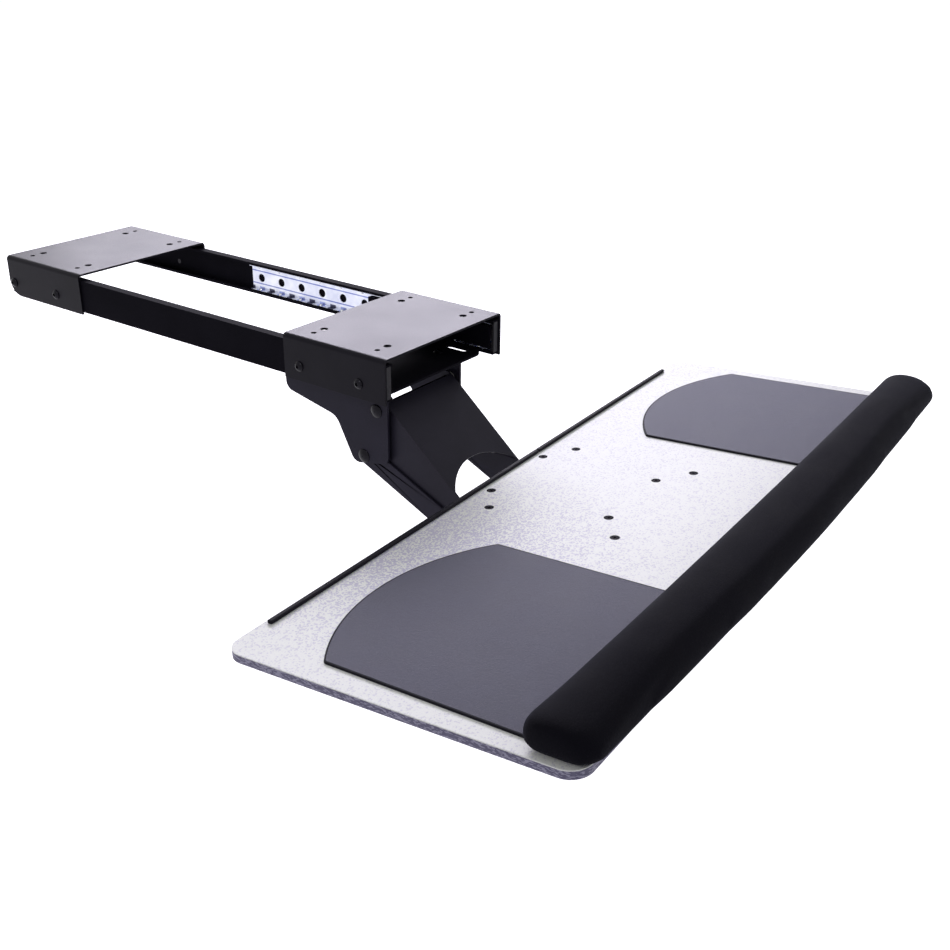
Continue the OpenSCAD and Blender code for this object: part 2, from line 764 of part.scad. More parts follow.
// Plate under the swivel, with two ears that hang outside the head's side plates
module tilt_plate() {
    lobe = clamp_d/2 + 5;
    reach = clamp_drop + lobe;
    middle = swivel_at.z + (tilt_plate_z - tilt_plate_t/2)/cos(tray_slope) - tilt_axis.y;
    function plate_z(y) = middle - (tilt_axis.x + y - swivel_at.y)*tan(tray_slope);
    outline = [
        [13, plate_z(13), 0], [-16, plate_z(-16), 0],
        [-9 - lobe*1.1, -reach + 2, 0.9*lobe], [3 + lobe*1.0, -reach, 0.9*lobe]];
    color("#2b2b33") difference() {
        union() {
            in_tray_frame() difference() {
                translate([0, (tilt_plate_back + tilt_plate_front)/2, tilt_plate_z - tilt_plate_t])
                    linear_extrude(tilt_plate_t)
                        rounded_rect(2*(ear_x + ear_t), tilt_plate_back - tilt_plate_front, 6);
                translate([0, 0, tilt_plate_z - tilt_plate_t - 1])
                    cylinder(h = tilt_plate_t + 2, r = post_r + running);
            }
            both() along_x(ear_x, ear_x + ear_t) translate(tilt_axis) polygon(rounded_outline(outline));
        }
        bar_x(tilt_axis, -ear_x - ear_t - 1, ear_x + ear_t + 1, pin_d/2);
        both() along_x(ear_x - 1, ear_x + ear_t + 1) translate(tilt_axis) clamp_slot();
    }
}

module swivel_glide() {
    color("#d8d4c8") in_tray_frame() translate([0, 0, tilt_plate_z]) difference() {
        cylinder(h = glide_t - running, r = glide_r);
        translate([0, 0, -1]) cylinder(h = glide_t + 2, r = post_r + fit);
    }
}

module clamp_knob() {
    lobes = 5;
    color("#1b1b20") translate([clamp_right, clamp_at.x, clamp_at.y]) rotate([0, 90, 0]) difference() {
        union() {
            cylinder(h = knob_t, r = 0.36*knob_d);
            for (i = [0:lobes - 1]) rotate(i*360/lobes) translate([0.32*knob_d, 0, 4])
                cylinder(h = knob_t - 4, r = 0.18*knob_d);
        }
        translate([0, 0, -1]) cylinder(h = knob_t - 2, r = clamp_d/2 + 2);
    }
}

module knob_insert() {
    color("goldenrod") translate([clamp_right, clamp_at.x, clamp_at.y]) rotate([0, 90, 0]) difference() {
        cylinder(h = knob_t - 3.5, r = clamp_d/2 + 2 - fit);
        translate([0, 0, -1]) cylinder(h = knob_t, r = clamp_d/2);
    }
}

// The eight tray screws as [x, y] in the tray frame
tray_screw_places = [for (s = [-1, 1], k = [0, 1]) each [
    [s*inner_screw_x/2, swivel_inset - inner_screw_v - k*inner_screw_row],
    [s*outer_screw_x/2, swivel_inset - outer_screw_v - k*outer_screw_row]]];

module swivel_plate() {
    centre_y = swivel_inset - (inner_screw_v + outer_screw_v + outer_screw_row)/2;
    color("#2b2b33") on_tray() difference() {
        translate([0, centre_y, glide_z]) linear_extrude(swivel_plate_t)
            rounded_rect(swivel_plate_w, swivel_plate_d, 10);
        for (p = tray_screw_places) translate([p.x, p.y, glide_z - 1])
            cylinder(h = swivel_plate_t + 2, d = tray_screw_d);
        translate([0, 0, glide_z - 1]) cylinder(h = swivel_plate_t + 2, r = post_thread_r);
    }
}

// Stepped post: a shoulder turns in the tilt plate, a thread carries the washer and the nut
module swivel_post() {
    shoulder = glide_t + tilt_plate_t + running;
    tail = swivel_washer_t + swivel_nut_h + 2;
    color("silver") on_tray() {
        translate([0, 0, glide_z - shoulder]) cylinder(h = shoulder, r = post_r);
        translate([0, 0, glide_z]) cylinder(h = swivel_plate_t, r = post_thread_r - running);
        translate([0, 0, glide_z - shoulder - tail]) cylinder(h = tail, r = post_thread_r);
    }
}

module swivel_washer() {
    top = glide_z - glide_t - tilt_plate_t - running;
    color("silver") on_tray() translate([0, 0, top - swivel_washer_t]) difference() {
        cylinder(h = swivel_washer_t, r = post_r + 6);
        translate([0, 0, -1]) cylinder(h = swivel_washer_t + 2, r = post_thread_r + running);
    }
}

module swivel_nut() {
    top = glide_z - glide_t - tilt_plate_t - running - swivel_washer_t;
    color("silver") on_tray() translate([0, 0, top - swivel_nut_h]) difference() {
        hexagon(13, swivel_nut_h);
        translate([0, 0, -1]) cylinder(h = swivel_nut_h + 2, r = post_thread_r + running);
    }
}

// Board outline, extruded from z0 to z1 in the tray frame
module board(z0, z1) {
    translate([0, swivel_inset - tray_d/2, z0]) linear_extrude(z1 - z0) rounded_rect(tray_w, tray_d, tray_r);
}

module tray_screw_holes() {
    head_h = (tray_screw_head - tray_screw_d)/2;
    for (p = tray_screw_places) translate([p.x, p.y, 0]) {
        translate([0, 0, -tray_t - 1]) cylinder(h = tray_t + 2, d = tray_screw_d + 2*running);
        translate([0, 0, -head_h]) cylinder(h = head_h, d1 = tray_screw_d + 2*running, d2 = tray_screw_head + 2*running);
    }
}

module tray_core() {
    color("#6b6878") on_tray() difference() {
        board(-tray_t, -laminate_t);
        tray_screw_holes();
    }
}

module tray_laminate() {
    color("#e4e3ea") on_tray() difference() {
        board(-laminate_t, 0);
        tray_screw_holes();
    }
}

// Countersunk screws that end just inside the tapped swivel plate
module tray_screws() {
    head_h = (tray_screw_head - tray_screw_d)/2;
    reach = tray_t + swivel_plate_t - 0.2;
    color("#1b1b20") on_tray() for (p = tray_screw_places) translate([p.x, p.y, 0]) difference() {
        union() {
            translate([0, 0, -reach]) cylinder(h = reach - head_h, d = tray_screw_d - 2*running);
            translate([0, 0, -head_h]) cylinder(h = head_h, d1 = tray_screw_d - 2*running, d2 = tray_screw_head);
        }
        translate([0, 0, -1.2]) cylinder(h = 2, d = 2.6, $fn = 6);
    }
}

module stop_strip(x0, x1) {
    color("#1b1b20") on_tray() translate([x0, swivel_inset - 3 - strip_w, 0]) cube([x1 - x0, strip_w, strip_h]);
}

module stop_strip_left() {
    stop_strip(-strip_len/2, strip_joint - 0.4);
}

module stop_strip_right() {
    stop_strip(strip_joint + 0.4, strip_len/2);
}

// Thin pad with straight sides and a round back edge
module mouse_pad() {
    middle = pad_outer - pad_w/2;
    half = pad_w/2;
    corner_r = 4;
    sweep = asin((half - corner_r)/pad_arc_r);
    arc_y = swivel_inset - pad_back - pad_arc_r;
    shoulder_y = arc_y + sqrt(pad_arc_r*pad_arc_r - half*half);
    front_y = swivel_inset - pad_front;
    steps = 16;
    outline = concat(
        [[-half, front_y], [half, front_y], [half, shoulder_y - corner_r]],
        [for (i = [0:steps]) let (a = sweep - 2*sweep*i/steps) [pad_arc_r*sin(a), arc_y + pad_arc_r*cos(a)]],
        [[-half, shoulder_y - corner_r]]);
    color("#4a4a58") translate([middle, 0, 0]) linear_extrude(pad_t) polygon(outline);
}

module mouse_pad_left() {
    on_tray() left() mouse_pad();
}

module mouse_pad_right() {
    on_tray() mouse_pad();
}

// Front edge of the palm rest at distance x from the middle, as a distance from the tray's back edge
function palm_front(x) = palm_back + palm_d - palm_bow*pow(abs(2*x/palm_len), 1.5);

// Plate that ends behind the front edge of the tray and in front of the mouse pads
module palm_rest_base() {
    margin = 8;
    half = palm_len/2 - 14;
    rear = pad_front + 1;
    steps = 12;
    outline = concat(
        [[half, swivel_inset - rear], [-half, swivel_inset - rear]],
        [for (i = [0:steps]) let (x = half*(2*i/steps - 1)) [x, swivel_inset - min(palm_front(x) - margin, tray_d - 2)]]);
    color("#1b1b20") on_tray() linear_extrude(palm_base_t) polygon(outline);
}

// Crowned bolster: closed sections along X that shrink round the ends, with sides drawn in to the base
module palm_rest() {
    stations = 34;
    ring = 24;
    end_r = 26;
    waist = 9;
    bottom = palm_base_t + palm_gap;
    grow = [for (i = [0:stations]) let (x = palm_len/2*-cos(180*i/stations), over = max(0, abs(x) - palm_len/2 + end_r)/end_r)
        [x, sqrt(max(0.0036, 1 - over*over))]];
    function lobe(c, n) = sign(c)*pow(abs(c), 2/n);
    points = [for (g = grow, j = [0:ring - 1]) let (
            a = 360*j/ring,
            middle = swivel_inset - (palm_back + palm_front(g[0]))/2,
            half = (palm_front(g[0]) - palm_back)/2,
            rise = sin(a) > 0 ? palm_h - waist : waist - bottom)
        [g[0], middle + half*(0.25 + 0.75*g[1])*lobe(cos(a), 2.3), waist + rise*pow(g[1], 0.35)*lobe(sin(a), 2.3)]];
    last = stations*ring;
    sides = [for (i = [0:stations - 1], j = [0:ring - 1]) let (
            p = i*ring + j, q = i*ring + (j + 1) % ring, r = p + ring, s = q + ring)
        each [[p, r, q], [q, r, s]]];
    caps = concat(
        [for (j = [1:ring - 2]) [0, j, j + 1]],
        [for (j = [1:ring - 2]) [last, last + j + 1, last + j]]);
    color("#17171c") on_tray() polyhedron(points = points, faces = concat(sides, caps));
}

front_bracket();
rear_bracket();
outer_rail_left();
outer_rail_right();
rail_screws();
rail_end_stops();
ball_retainer_left();
ball_retainer_right();
bearing_balls_left();
bearing_balls_right();
inner_rail_left();
inner_rail_right();
carriage_plate();
carriage_screws();
cheek_left();
cheek_right();
cheek_bolts();
cheek_nuts();
rear_pivot_shaft();
rear_link_pins();
upper_arm();
pivot_bushes();
link_washers();
lower_link_left();
lower_link_right();
link_spacer();
head_bracket();
front_pivot_shaft();
front_link_shaft();
tilt_bolt();
clamp_bolt();
clamp_washers();
tilt_plate();
swivel_glide();
clamp_knob();
knob_insert();
swivel_plate();
swivel_post();
swivel_washer();
swivel_nut();
tray_core();
tray_laminate();
tray_screws();
stop_strip_left();
stop_strip_right();
mouse_pad_left();
mouse_pad_right();
palm_rest_base();
palm_rest();
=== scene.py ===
"""Keyboard tray that slides, lifts, tilts and swivels under a desk.

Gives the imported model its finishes, models its soft pieces anew, and sets up the studio and the camera.
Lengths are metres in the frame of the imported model: +Z is up, +Y runs back under the desk and +X is to the
user's right. Every piece is modelled in place, so its object stays at the origin.
"""

import functools
import logging
import math
from collections.abc import Callable, Iterable, Mapping, Sequence
from dataclasses import dataclass
from enum import Enum
from typing import Any, ClassVar, Protocol

import bmesh
import bpy
import numpy as np
from mathutils import Matrix, Vector


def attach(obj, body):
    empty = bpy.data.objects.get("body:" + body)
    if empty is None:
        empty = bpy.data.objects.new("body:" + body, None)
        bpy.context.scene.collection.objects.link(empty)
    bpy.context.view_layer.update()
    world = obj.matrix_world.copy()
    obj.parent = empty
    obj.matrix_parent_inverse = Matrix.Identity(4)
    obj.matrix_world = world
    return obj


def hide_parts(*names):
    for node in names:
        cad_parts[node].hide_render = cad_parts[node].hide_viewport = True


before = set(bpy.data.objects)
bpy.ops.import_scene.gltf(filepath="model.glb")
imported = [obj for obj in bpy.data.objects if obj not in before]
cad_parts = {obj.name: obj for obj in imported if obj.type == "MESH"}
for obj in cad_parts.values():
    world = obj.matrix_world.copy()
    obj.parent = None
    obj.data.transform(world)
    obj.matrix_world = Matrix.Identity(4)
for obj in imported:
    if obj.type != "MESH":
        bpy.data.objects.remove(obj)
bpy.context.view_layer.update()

LOG = logging.getLogger("keyboard_tray")
Colour = tuple[float, float, float]
Point = tuple[float, float, float]
Span = tuple[float, float]

# The tray's own frame: origin on the board's top face at the swivel, +Y to the back edge
SWIVEL_AT = Vector((0.0, -0.1404, -0.1029))
TRAY_SLOPE = math.radians(3.5)
TRAY_TURN = math.radians(2.8)
TRAY_FRAME = (
    Matrix.Translation(SWIVEL_AT)
    @ Matrix.Rotation(-TRAY_SLOPE, 4, "X")
    @ Matrix.Rotation(TRAY_TURN, 4, "Z")
)

# Lengths within which points are one point, or count as being where they are looked for
SAME = 1e-6
NEAR = 1e-5
# Keeps a length that is divided by off zero
TINY = 1e-9

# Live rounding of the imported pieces: points closer than this are one, and edges sharper than this are rounded
WELD_REACH = 2e-6
SHARP = math.radians(40)

# The stretch of soft noise that its patches of tone run over
PATCHES: Span = (0.3, 0.75)
# Pitch in metres of the wave texture's bands at scale 1
BAND_PITCH = 0.31
# Sockets of the Mix node that take and give colours
FIRST_COLOUR, SECOND_COLOUR, MIXED_COLOUR = 6, 7, 2

WHITE: Colour = (1.0, 1.0, 1.0)
EVEN: Point = (1.0, 1.0, 1.0)


class Side(Enum):
    """Which side of the tray a piece is on, seen by the user."""

    LEFT = -1
    RIGHT = 1


class Element(Enum):
    """What is picked on a mesh, with the name of its select mode."""

    VERTS = "VERT"
    EDGES = "EDGE"
    FACES = "FACE"


def configure(target: Any, settings: Mapping[str, Any]) -> None:
    """Sets several properties of one thing.

    Args:
        target: The node, modifier or settings that have them.
        settings: Their values, by name.
    """
    for name, value in settings.items():
        setattr(target, name, value)


# --------------------------------------------------
# Shader kit
# --------------------------------------------------


class Shade:
    """A node's output socket that takes part in sums as a number does."""

    def __init__(self, tree: bpy.types.NodeTree, socket: bpy.types.NodeSocket) -> None:
        """Wraps an output socket of a node tree.

        Args:
            tree: The node tree that holds the socket.
            socket: The output socket.
        """
        self.tree = tree
        self.socket = socket

    def sum(self, operation: str, first: "Shade | float", second: "Shade | float") -> "Shade":
        """Adds a Math node.

        Args:
            operation: The Math node's operation.
            first: Its first value or link.
            second: Its second value or link.

        Returns:
            The result of the sum.
        """
        node = self.tree.nodes.new("ShaderNodeMath")
        node.operation = operation
        for place, value in zip(node.inputs, (first, second)):
            if isinstance(value, Shade):
                self.tree.links.new(value.socket, place)
            else:
                place.default_value = value
        return Shade(self.tree, node.outputs[0])

    def __add__(self, other: "Shade | float") -> "Shade":
        """Adds a value or a shade."""
        return self.sum("ADD", self, other)

    def __sub__(self, other: "Shade | float") -> "Shade":
        """Takes a value or a shade away."""
        return self.sum("SUBTRACT", self, other)

    def __rsub__(self, other: float) -> "Shade":
        """Takes the shade away from a value."""
        return self.sum("SUBTRACT", other, self)

    def __mul__(self, other: "Shade | float") -> "Shade":
        """Multiplies by a value or a shade."""
        return self.sum("MULTIPLY", self, other)

    def __lt__(self, other: "Shade | float") -> "Shade":
        """Is 1 where the shade is below the other, and 0 elsewhere."""
        return self.sum("LESS_THAN", self, other)

    def fraction(self) -> "Shade":
        """The part after the decimal point."""
        return self.sum("FRACT", self, 0.0)

    def swing(self, width: float) -> "Shade":
        """Turns 0 to 1 into a swing of the given width about zero."""
        return (self - 0.5) * width


class Paint:
    """One material: its shader and the nodes that vary its finish over the surface."""

    def __init__(self, name: str, **values: Any) -> None:
        """Makes the material and sets what is the same all over it.

        Args:
            name: The material's name.
            **values: The shader's own values, named as its sockets with underscores for spaces.
        """
        self.material = bpy.data.materials.new(name)
        self.material.use_nodes = True
        self.tree = self.material.node_tree
        self.shader = self.tree.nodes["Principled BSDF"]
        for socket, value in values.items():
            self.shader.inputs[socket.replace("_", " ")].default_value = value

    def node(
        self,
        kind: str,
        settings: Mapping[str, Any],
        sockets: Mapping[str | int, Any],
        output: str | int = 0,
    ) -> Shade:
        """Adds a node.

        Args:
            kind: The node's type.
            settings: Its properties, which are set first.
            sockets: The values or links of its sockets, by name or number.
            output: The output that is wanted.

        Returns:
            That output.
        """
        made = self.tree.nodes.new(kind)
        configure(made, settings)
        for name, value in sockets.items():
            if isinstance(value, Shade):
                self.tree.links.new(value.socket, made.inputs[name])
            else:
                made.inputs[name].default_value = value
        return Shade(self.tree, made.outputs[output])

    def place(self, turn: float = 0.0, stretch: Sequence[float] = EVEN) -> Shade:
        """Object coordinates in metres.

        Args:
            turn: Turn of the pattern about the vertical.
            stretch: Scale of the pattern along each axis.

        Returns:
            The coordinates.
        """
        own = self.node("ShaderNodeTexCoord", {}, {}, "Object")
        return self.node("ShaderNodeMapping", {}, {"Vector": own, "Rotation": (0, 0, turn), "Scale": stretch})

    def axis(self, at: Shade, name: str) -> Shade:
        """One of the coordinates, "X", "Y" or "Z"."""
        return self.node("ShaderNodeSeparateXYZ", {}, {0: at}, name)

    def distance(self, at: Shade, point: Point) -> Shade:
        """How far in metres the coordinates are from a point."""
        return self.node("ShaderNodeVectorMath", {"operation": "DISTANCE"}, {0: at, 1: point}, "Value")

    def noise(self, at: Shade, size: float, detail: float = 2.0) -> Shade:
        """Soft noise from 0 to 1 with features of about the given size in metres."""
        return self.node("ShaderNodeTexNoise", {}, {"Vector": at, "Scale": 1 / size, "Detail": detail})

    def cells(self, at: Shade, size: float) -> Shade:
        """One chance value from 0 to 1 for each cell of the given size in metres."""
        colour = self.node("ShaderNodeTexVoronoi", {}, {"Vector": at, "Scale": 1 / size}, "Color")
        return self.node("ShaderNodeSeparateColor", {}, {"Color": colour})

    def bands(self, at: Shade, direction: str, pitch: float) -> Shade:
        """Soft bands from 0 to 1 that follow one another along "X" or "Y"."""
        scale = BAND_PITCH / pitch
        return self.node("ShaderNodeTexWave", {"bands_direction": direction}, {"Vector": at, "Scale": scale})

    def reach(self, value: Shade, low: float, high: float) -> Shade:
        """Turns the stretch from low to high into 0 to 1, and keeps to that range."""
        ends = {"From Min": low, "From Max": high}
        return self.node("ShaderNodeMapRange", {"clamp": True}, {"Value": value, **ends})

    def mix(self, factor: Shade | float, first: Shade | Colour, second: Shade | Colour) -> Shade:
        """Mixes two colours.

        Args:
            factor: The share of the second colour.
            first: The first colour.
            second: The second colour.

        Returns:
            The mixed colour.
        """
        ends = {
            socket: colour if isinstance(colour, Shade) else (*colour, 1.0)
            for socket, colour in ((FIRST_COLOUR, first), (SECOND_COLOUR, second))
        }
        return self.node("ShaderNodeMix", {"data_type": "RGBA"}, {0: factor, **ends}, MIXED_COLOUR)

    def link(self, shade: Shade, socket: str) -> None:
        """Feeds one of the shader's sockets from a shade."""
        self.tree.links.new(shade.socket, self.shader.inputs[socket])

    def bump(self, height: Shade, depth: float) -> None:
        """Raises the surface by a height from 0 to 1, depth metres deep."""
        self.link(self.node("ShaderNodeBump", {}, {"Height": height, "Distance": depth}), "Normal")


def toned(colour: Colour, gain: float, lift: float = 0.0) -> Colour:
    """The colour with each part multiplied by the gain and raised by the lift."""
    return tuple(gain * part + lift for part in colour)


def seen(tree: bpy.types.NodeTree) -> Shade:
    """Tells what is seen, mirrored or seen through from what only lights.

    Args:
        tree: The node tree of the world or material.

    Returns:
        1 for camera, glossy and transmission rays, and 0 for the others.
    """
    path = tree.nodes.new("ShaderNodeLightPath")
    kinds = ("Is Camera Ray", "Is Glossy Ray", "Is Transmission Ray")
    camera, glossy, through = (Shade(tree, path.outputs[kind]) for kind in kinds)
    return camera + glossy + through


class Finish(Protocol):
    """What a surface is made of."""

    def material(self) -> bpy.types.Material:
        """Makes the finish's material."""


# --------------------------------------------------
# Finishes
# --------------------------------------------------


@dataclass(frozen=True)
class PaintedSteel:
    """Black powder coat on sheet steel: a fine peel, with gloss and tone that drift over the sheet."""

    name: str
    colour: Colour
    roughness: float = 0.45
    specular: float = 0.12
    peel: float = 0.0011
    peel_depth: float = 0.00005
    peel_gloss: float = 0.08
    tint: Colour = (0.88, 0.84, 1.0)
    drift: float = 0.055
    drift_patches: Span = (0.35, 0.7)
    drift_gloss: float = 0.12
    light_gain: float = 1.5
    light_lift: float = 0.002

    def material(self) -> bpy.types.Material:
        """Makes the powder coat.

        Returns:
            The material.
        """
        paint = Paint(self.name, Specular_IOR_Level=self.specular, Specular_Tint=(*self.tint, 1.0))
        at = paint.place()
        drift = paint.noise(at, self.drift, detail=3.0)
        fine = paint.noise(at, self.peel, detail=3.0)
        lighter = toned(self.colour, self.light_gain, self.light_lift)
        paint.link(paint.mix(paint.reach(drift, *self.drift_patches), self.colour, lighter), "Base Color")
        paint.link(drift.swing(self.drift_gloss) + fine.swing(self.peel_gloss) + self.roughness, "Roughness")
        paint.bump(fine, self.peel_depth)
        return paint.material


@dataclass(frozen=True)
class PlatedMetal:
    """Bare or plated metal, drawn or rolled along one direction."""

    name: str
    colour: Colour
    roughness: float
    draw: Sequence[float] = (1.0, 0.05, 1.0)
    grain: float = 0.0005
    grain_depth: float = 0.00001
    grain_gloss: float = 0.25
    cloud: float = 0.012
    cloud_gloss: float = 0.15
    dull_gain: float = 0.72

    def material(self) -> bpy.types.Material:
        """Makes the metal.

        Returns:
            The material.
        """
        paint = Paint(self.name, Metallic=1.0)
        streaks = paint.noise(paint.place(stretch=self.draw), self.grain)
        cloud = paint.noise(paint.place(), self.cloud, detail=3.0)
        dull = toned(self.colour, self.dull_gain)
        paint.link(paint.mix(paint.reach(cloud, *PATCHES), self.colour, dull), "Base Color")
        gloss = streaks.swing(self.grain_gloss) + cloud.swing(self.cloud_gloss)
        paint.link(gloss + self.roughness, "Roughness")
        paint.bump(streaks, self.grain_depth)
        return paint.material


@dataclass(frozen=True)
class RetainerSteel:
    """Bright rolled strip of the ball retainers, with two grooves and a row of pockets along its foot: painted
    reflection gives the grooves their blue, painted shade darkens the deep pockets and painted reflection makes
    the shallow pockets blue.
    """

    name: str
    colour: Colour = (0.88, 0.90, 0.97)
    # Blue of the painted reflection on the grooves, which also tints the random patches
    groove_reflection_and_blue_tone: Colour = (0.16, 0.21, 0.58)
    # Painted shade in the deep pockets
    pocket_shade: Colour = (0.03, 0.03, 0.09)
    # Painted reflection in the shallow pockets
    shallow_pocket_reflection: Colour = (0.30, 0.36, 0.72)
    metallic: float = 0.9
    roughness: float = 0.42
    cloud: float = 0.012
    cloud_gloss: float = 0.15
    # Shares of the blue in the random patches, of the painted reflection on the grooves, of the painted shade
    # in the deep pockets and of the painted reflection in the shallow ones, where they are
    cloud_blue: float = 0.3
    groove_reflection_share: float = 0.7
    pocket_dark: float = 0.9
    shallow_reflection_share: float = 0.8
    # Heights are from the strip's middle; the pockets are each as long as their share of the pitch
    middle: float = -0.022
    groove_places: Span = (0.0070, -0.0062)
    groove_half: float = 0.00065
    groove_depth: float = 0.0003
    groove_gloss: float = 0.1
    pocket_top: float = -0.0092
    pocket_pitch: float = 0.0282
    pocket_share: float = 0.27
    first_pocket: float = 0.005

    def material(self) -> bpy.types.Material:
        """Makes the strip's steel.

        Returns:
            The material.
        """
        paint = Paint(self.name, Metallic=self.metallic)
        at = paint.place()
        height = paint.axis(at, "Z") - self.middle
        upper, lower = ((height - z) * (height - z) < self.groove_half**2 for z in self.groove_places)
        grooves = upper + lower
        along = (paint.axis(at, "Y") - self.first_pocket) * (1 / self.pocket_pitch) + self.pocket_share / 2
        foot = height < self.pocket_top
        deep, shallow = ((along + shift).fraction() < self.pocket_share for shift in (0.0, 0.5))
        cloud = paint.noise(at, self.cloud, detail=3.0)
        # The random blue patches, and the painted reflection on the grooves
        blue = paint.reach(cloud, *PATCHES) * self.cloud_blue + grooves * self.groove_reflection_share
        with_groove_reflection = paint.mix(blue, self.colour, self.groove_reflection_and_blue_tone)
        # Painted shade in the deep pockets and painted reflection in the shallow ones, along the foot
        with_pocket_shade = paint.mix(deep * foot * self.pocket_dark, with_groove_reflection, self.pocket_shade)
        whole = paint.mix(shallow * foot * self.shallow_reflection_share, with_pocket_shade, self.shallow_pocket_reflection)
        paint.link(whole, "Base Color")
        paint.link(cloud.swing(self.cloud_gloss) + grooves * self.groove_gloss + self.roughness, "Roughness")
        paint.bump(1 - grooves, self.groove_depth)
        return paint.material


@dataclass(frozen=True)
class MouldedPlastic:
    """Moulded plastic or rubber with a fine spark-eroded grain."""

    name: str
    colour: Colour
    roughness: float
    grain: float = 0.0006
    grain_depth: float = 0.00004
    specular: float = 0.35
    grain_gloss: float = 0.2
    tone: float = 0.02
    tone_patches: Span = (0.3, 0.8)
    light_gain: float = 1.25
    light_lift: float = 0.001

    def material(self) -> bpy.types.Material:
        """Makes the plastic.

        Returns:
            The material.
        """
        paint = Paint(self.name, Specular_IOR_Level=self.specular)
        at = paint.place()
        grain = paint.noise(at, self.grain)
        tone = paint.reach(paint.noise(at, self.tone), *self.tone_patches)
        lighter = toned(self.colour, self.light_gain, self.light_lift)
        paint.link(paint.mix(tone, self.colour, lighter), "Base Color")
        paint.link(grain.swing(self.grain_gloss) + self.roughness, "Roughness")
        paint.bump(grain, self.grain_depth)
        return paint.material


@dataclass(frozen=True)
class SpeckledLaminate:
    """Pale decor layer with small lavender-grey flecks that stand closer towards one corner of the board."""

    name: str
    ground: Colour = (0.87, 0.88, 0.86)
    fleck: Colour = (0.42, 0.38, 0.62)
    specular: float = 0.12
    roughness: float = 0.42
    # Where the flecks are densest, and the distances over which they thin out
    dense_at: Point = (-0.162, -0.1045, -0.105)
    thinning: Span = (0.04, 0.17)
    density: float = 0.58
    density_fall: float = 0.42
    strength: float = 0.56
    strength_fall: float = 0.28
    fleck_size: float = 0.0012
    fleck_gloss: float = 0.06
    fine_share: float = 0.45
    fine_density: float = 0.25
    fine_strength: float = 0.1
    clump: float = 0.006
    clump_swing: float = 0.5
    clump_gloss: float = 0.1
    grain: float = 0.0012
    grain_depth: float = 0.00003

    def material(self) -> bpy.types.Material:
        """Makes the laminate.

        Returns:
            The material.
        """
        paint = Paint(self.name, Specular_IOR_Level=self.specular)
        at = paint.place()
        thin = paint.reach(paint.distance(at, self.dense_at), *self.thinning)
        density = self.density - thin * self.density_fall
        clump = paint.noise(at, self.clump)
        flecks = paint.cells(at, self.fleck_size) < density + clump.swing(self.clump_swing)
        fine = paint.cells(at, self.fine_share * self.fleck_size) < self.fine_density
        share = flecks * (self.strength - thin * self.strength_fall) + fine * self.fine_strength
        paint.link(paint.mix(share, self.ground, self.fleck), "Base Color")
        paint.link(clump.swing(self.clump_gloss) + flecks * self.fleck_gloss + self.roughness, "Roughness")
        paint.bump(paint.noise(at, self.grain), self.grain_depth)
        return paint.material


@dataclass(frozen=True)
class CompactBoard:
    """Dark core of the board, with pale fibres that show on its cut edge."""

    name: str
    ground: Colour = (0.12, 0.11, 0.19)
    fibre: Colour = (0.48, 0.46, 0.62)
    specular: float = 0.35
    roughness: float = 0.55
    fibre_size: float = 0.0010
    fibre_stretch: Sequence[float] = (0.45, 0.45, 1.6)
    fibre_density: float = 0.38
    fibre_strength: float = 0.6
    clump: float = 0.004
    clump_swing: float = 0.5
    clump_gloss: float = 0.2
    clump_depth: float = 0.00008

    def material(self) -> bpy.types.Material:
        """Makes the core.

        Returns:
            The material.
        """
        paint = Paint(self.name, Specular_IOR_Level=self.specular)
        at = paint.place()
        fibres = paint.cells(paint.place(stretch=self.fibre_stretch), self.fibre_size) < self.fibre_density
        clump = paint.noise(at, self.clump, detail=3.0)
        share = fibres * self.fibre_strength + clump.swing(self.clump_swing)
        paint.link(paint.mix(share, self.ground, self.fibre), "Base Color")
        paint.link(clump.swing(self.clump_gloss) + self.roughness, "Roughness")
        paint.bump(clump, self.clump_depth)
        return paint.material


@dataclass(frozen=True)
class PadCloth:
    """Close-woven slate cloth of a mouse pad."""

    name: str
    colour: Colour = (0.032, 0.032, 0.050)
    light_gain: float = 1.7
    specular: float = 0.12
    roughness: float = 0.52
    sheen: float = 0.6
    sheen_roughness: float = 0.45
    sheen_tint: Colour = (0.8, 0.8, 1.0)
    thread: float = 0.0007
    thread_tone: float = 0.3
    thread_depth: float = 0.00012
    lint: float = 0.0012
    lint_tone: float = 0.25
    lint_height: float = 0.5
    drift: float = 0.03
    drift_tone: float = 0.5
    drift_gloss: float = 0.16

    def threads(self, paint: Paint, at: Shade) -> Shade:
        """The height of the threads from 0 to 1: bands across bands."""
        return paint.bands(at, "X", self.thread) * paint.bands(at, "Y", self.thread)

    def material(self) -> bpy.types.Material:
        """Makes the cloth.

        Returns:
            The material.
        """
        paint = Paint(
            self.name,
            Specular_IOR_Level=self.specular,
            Sheen_Weight=self.sheen,
            Sheen_Roughness=self.sheen_roughness,
            Sheen_Tint=(*self.sheen_tint, 1.0),
        )
        at = paint.place(turn=-TRAY_TURN)
        threads = self.threads(paint, at)
        drift = paint.noise(at, self.drift, detail=4.0)
        lint = paint.cells(at, self.lint)
        patches = paint.reach(drift, *PATCHES) * self.drift_tone
        tone = patches + threads * self.thread_tone + lint * self.lint_tone
        paint.link(paint.mix(tone, self.colour, toned(self.colour, self.light_gain)), "Base Color")
        paint.link(drift.swing(self.drift_gloss) + self.roughness, "Roughness")
        paint.bump(threads + lint * self.lint_height, self.thread_depth)
        return paint.material


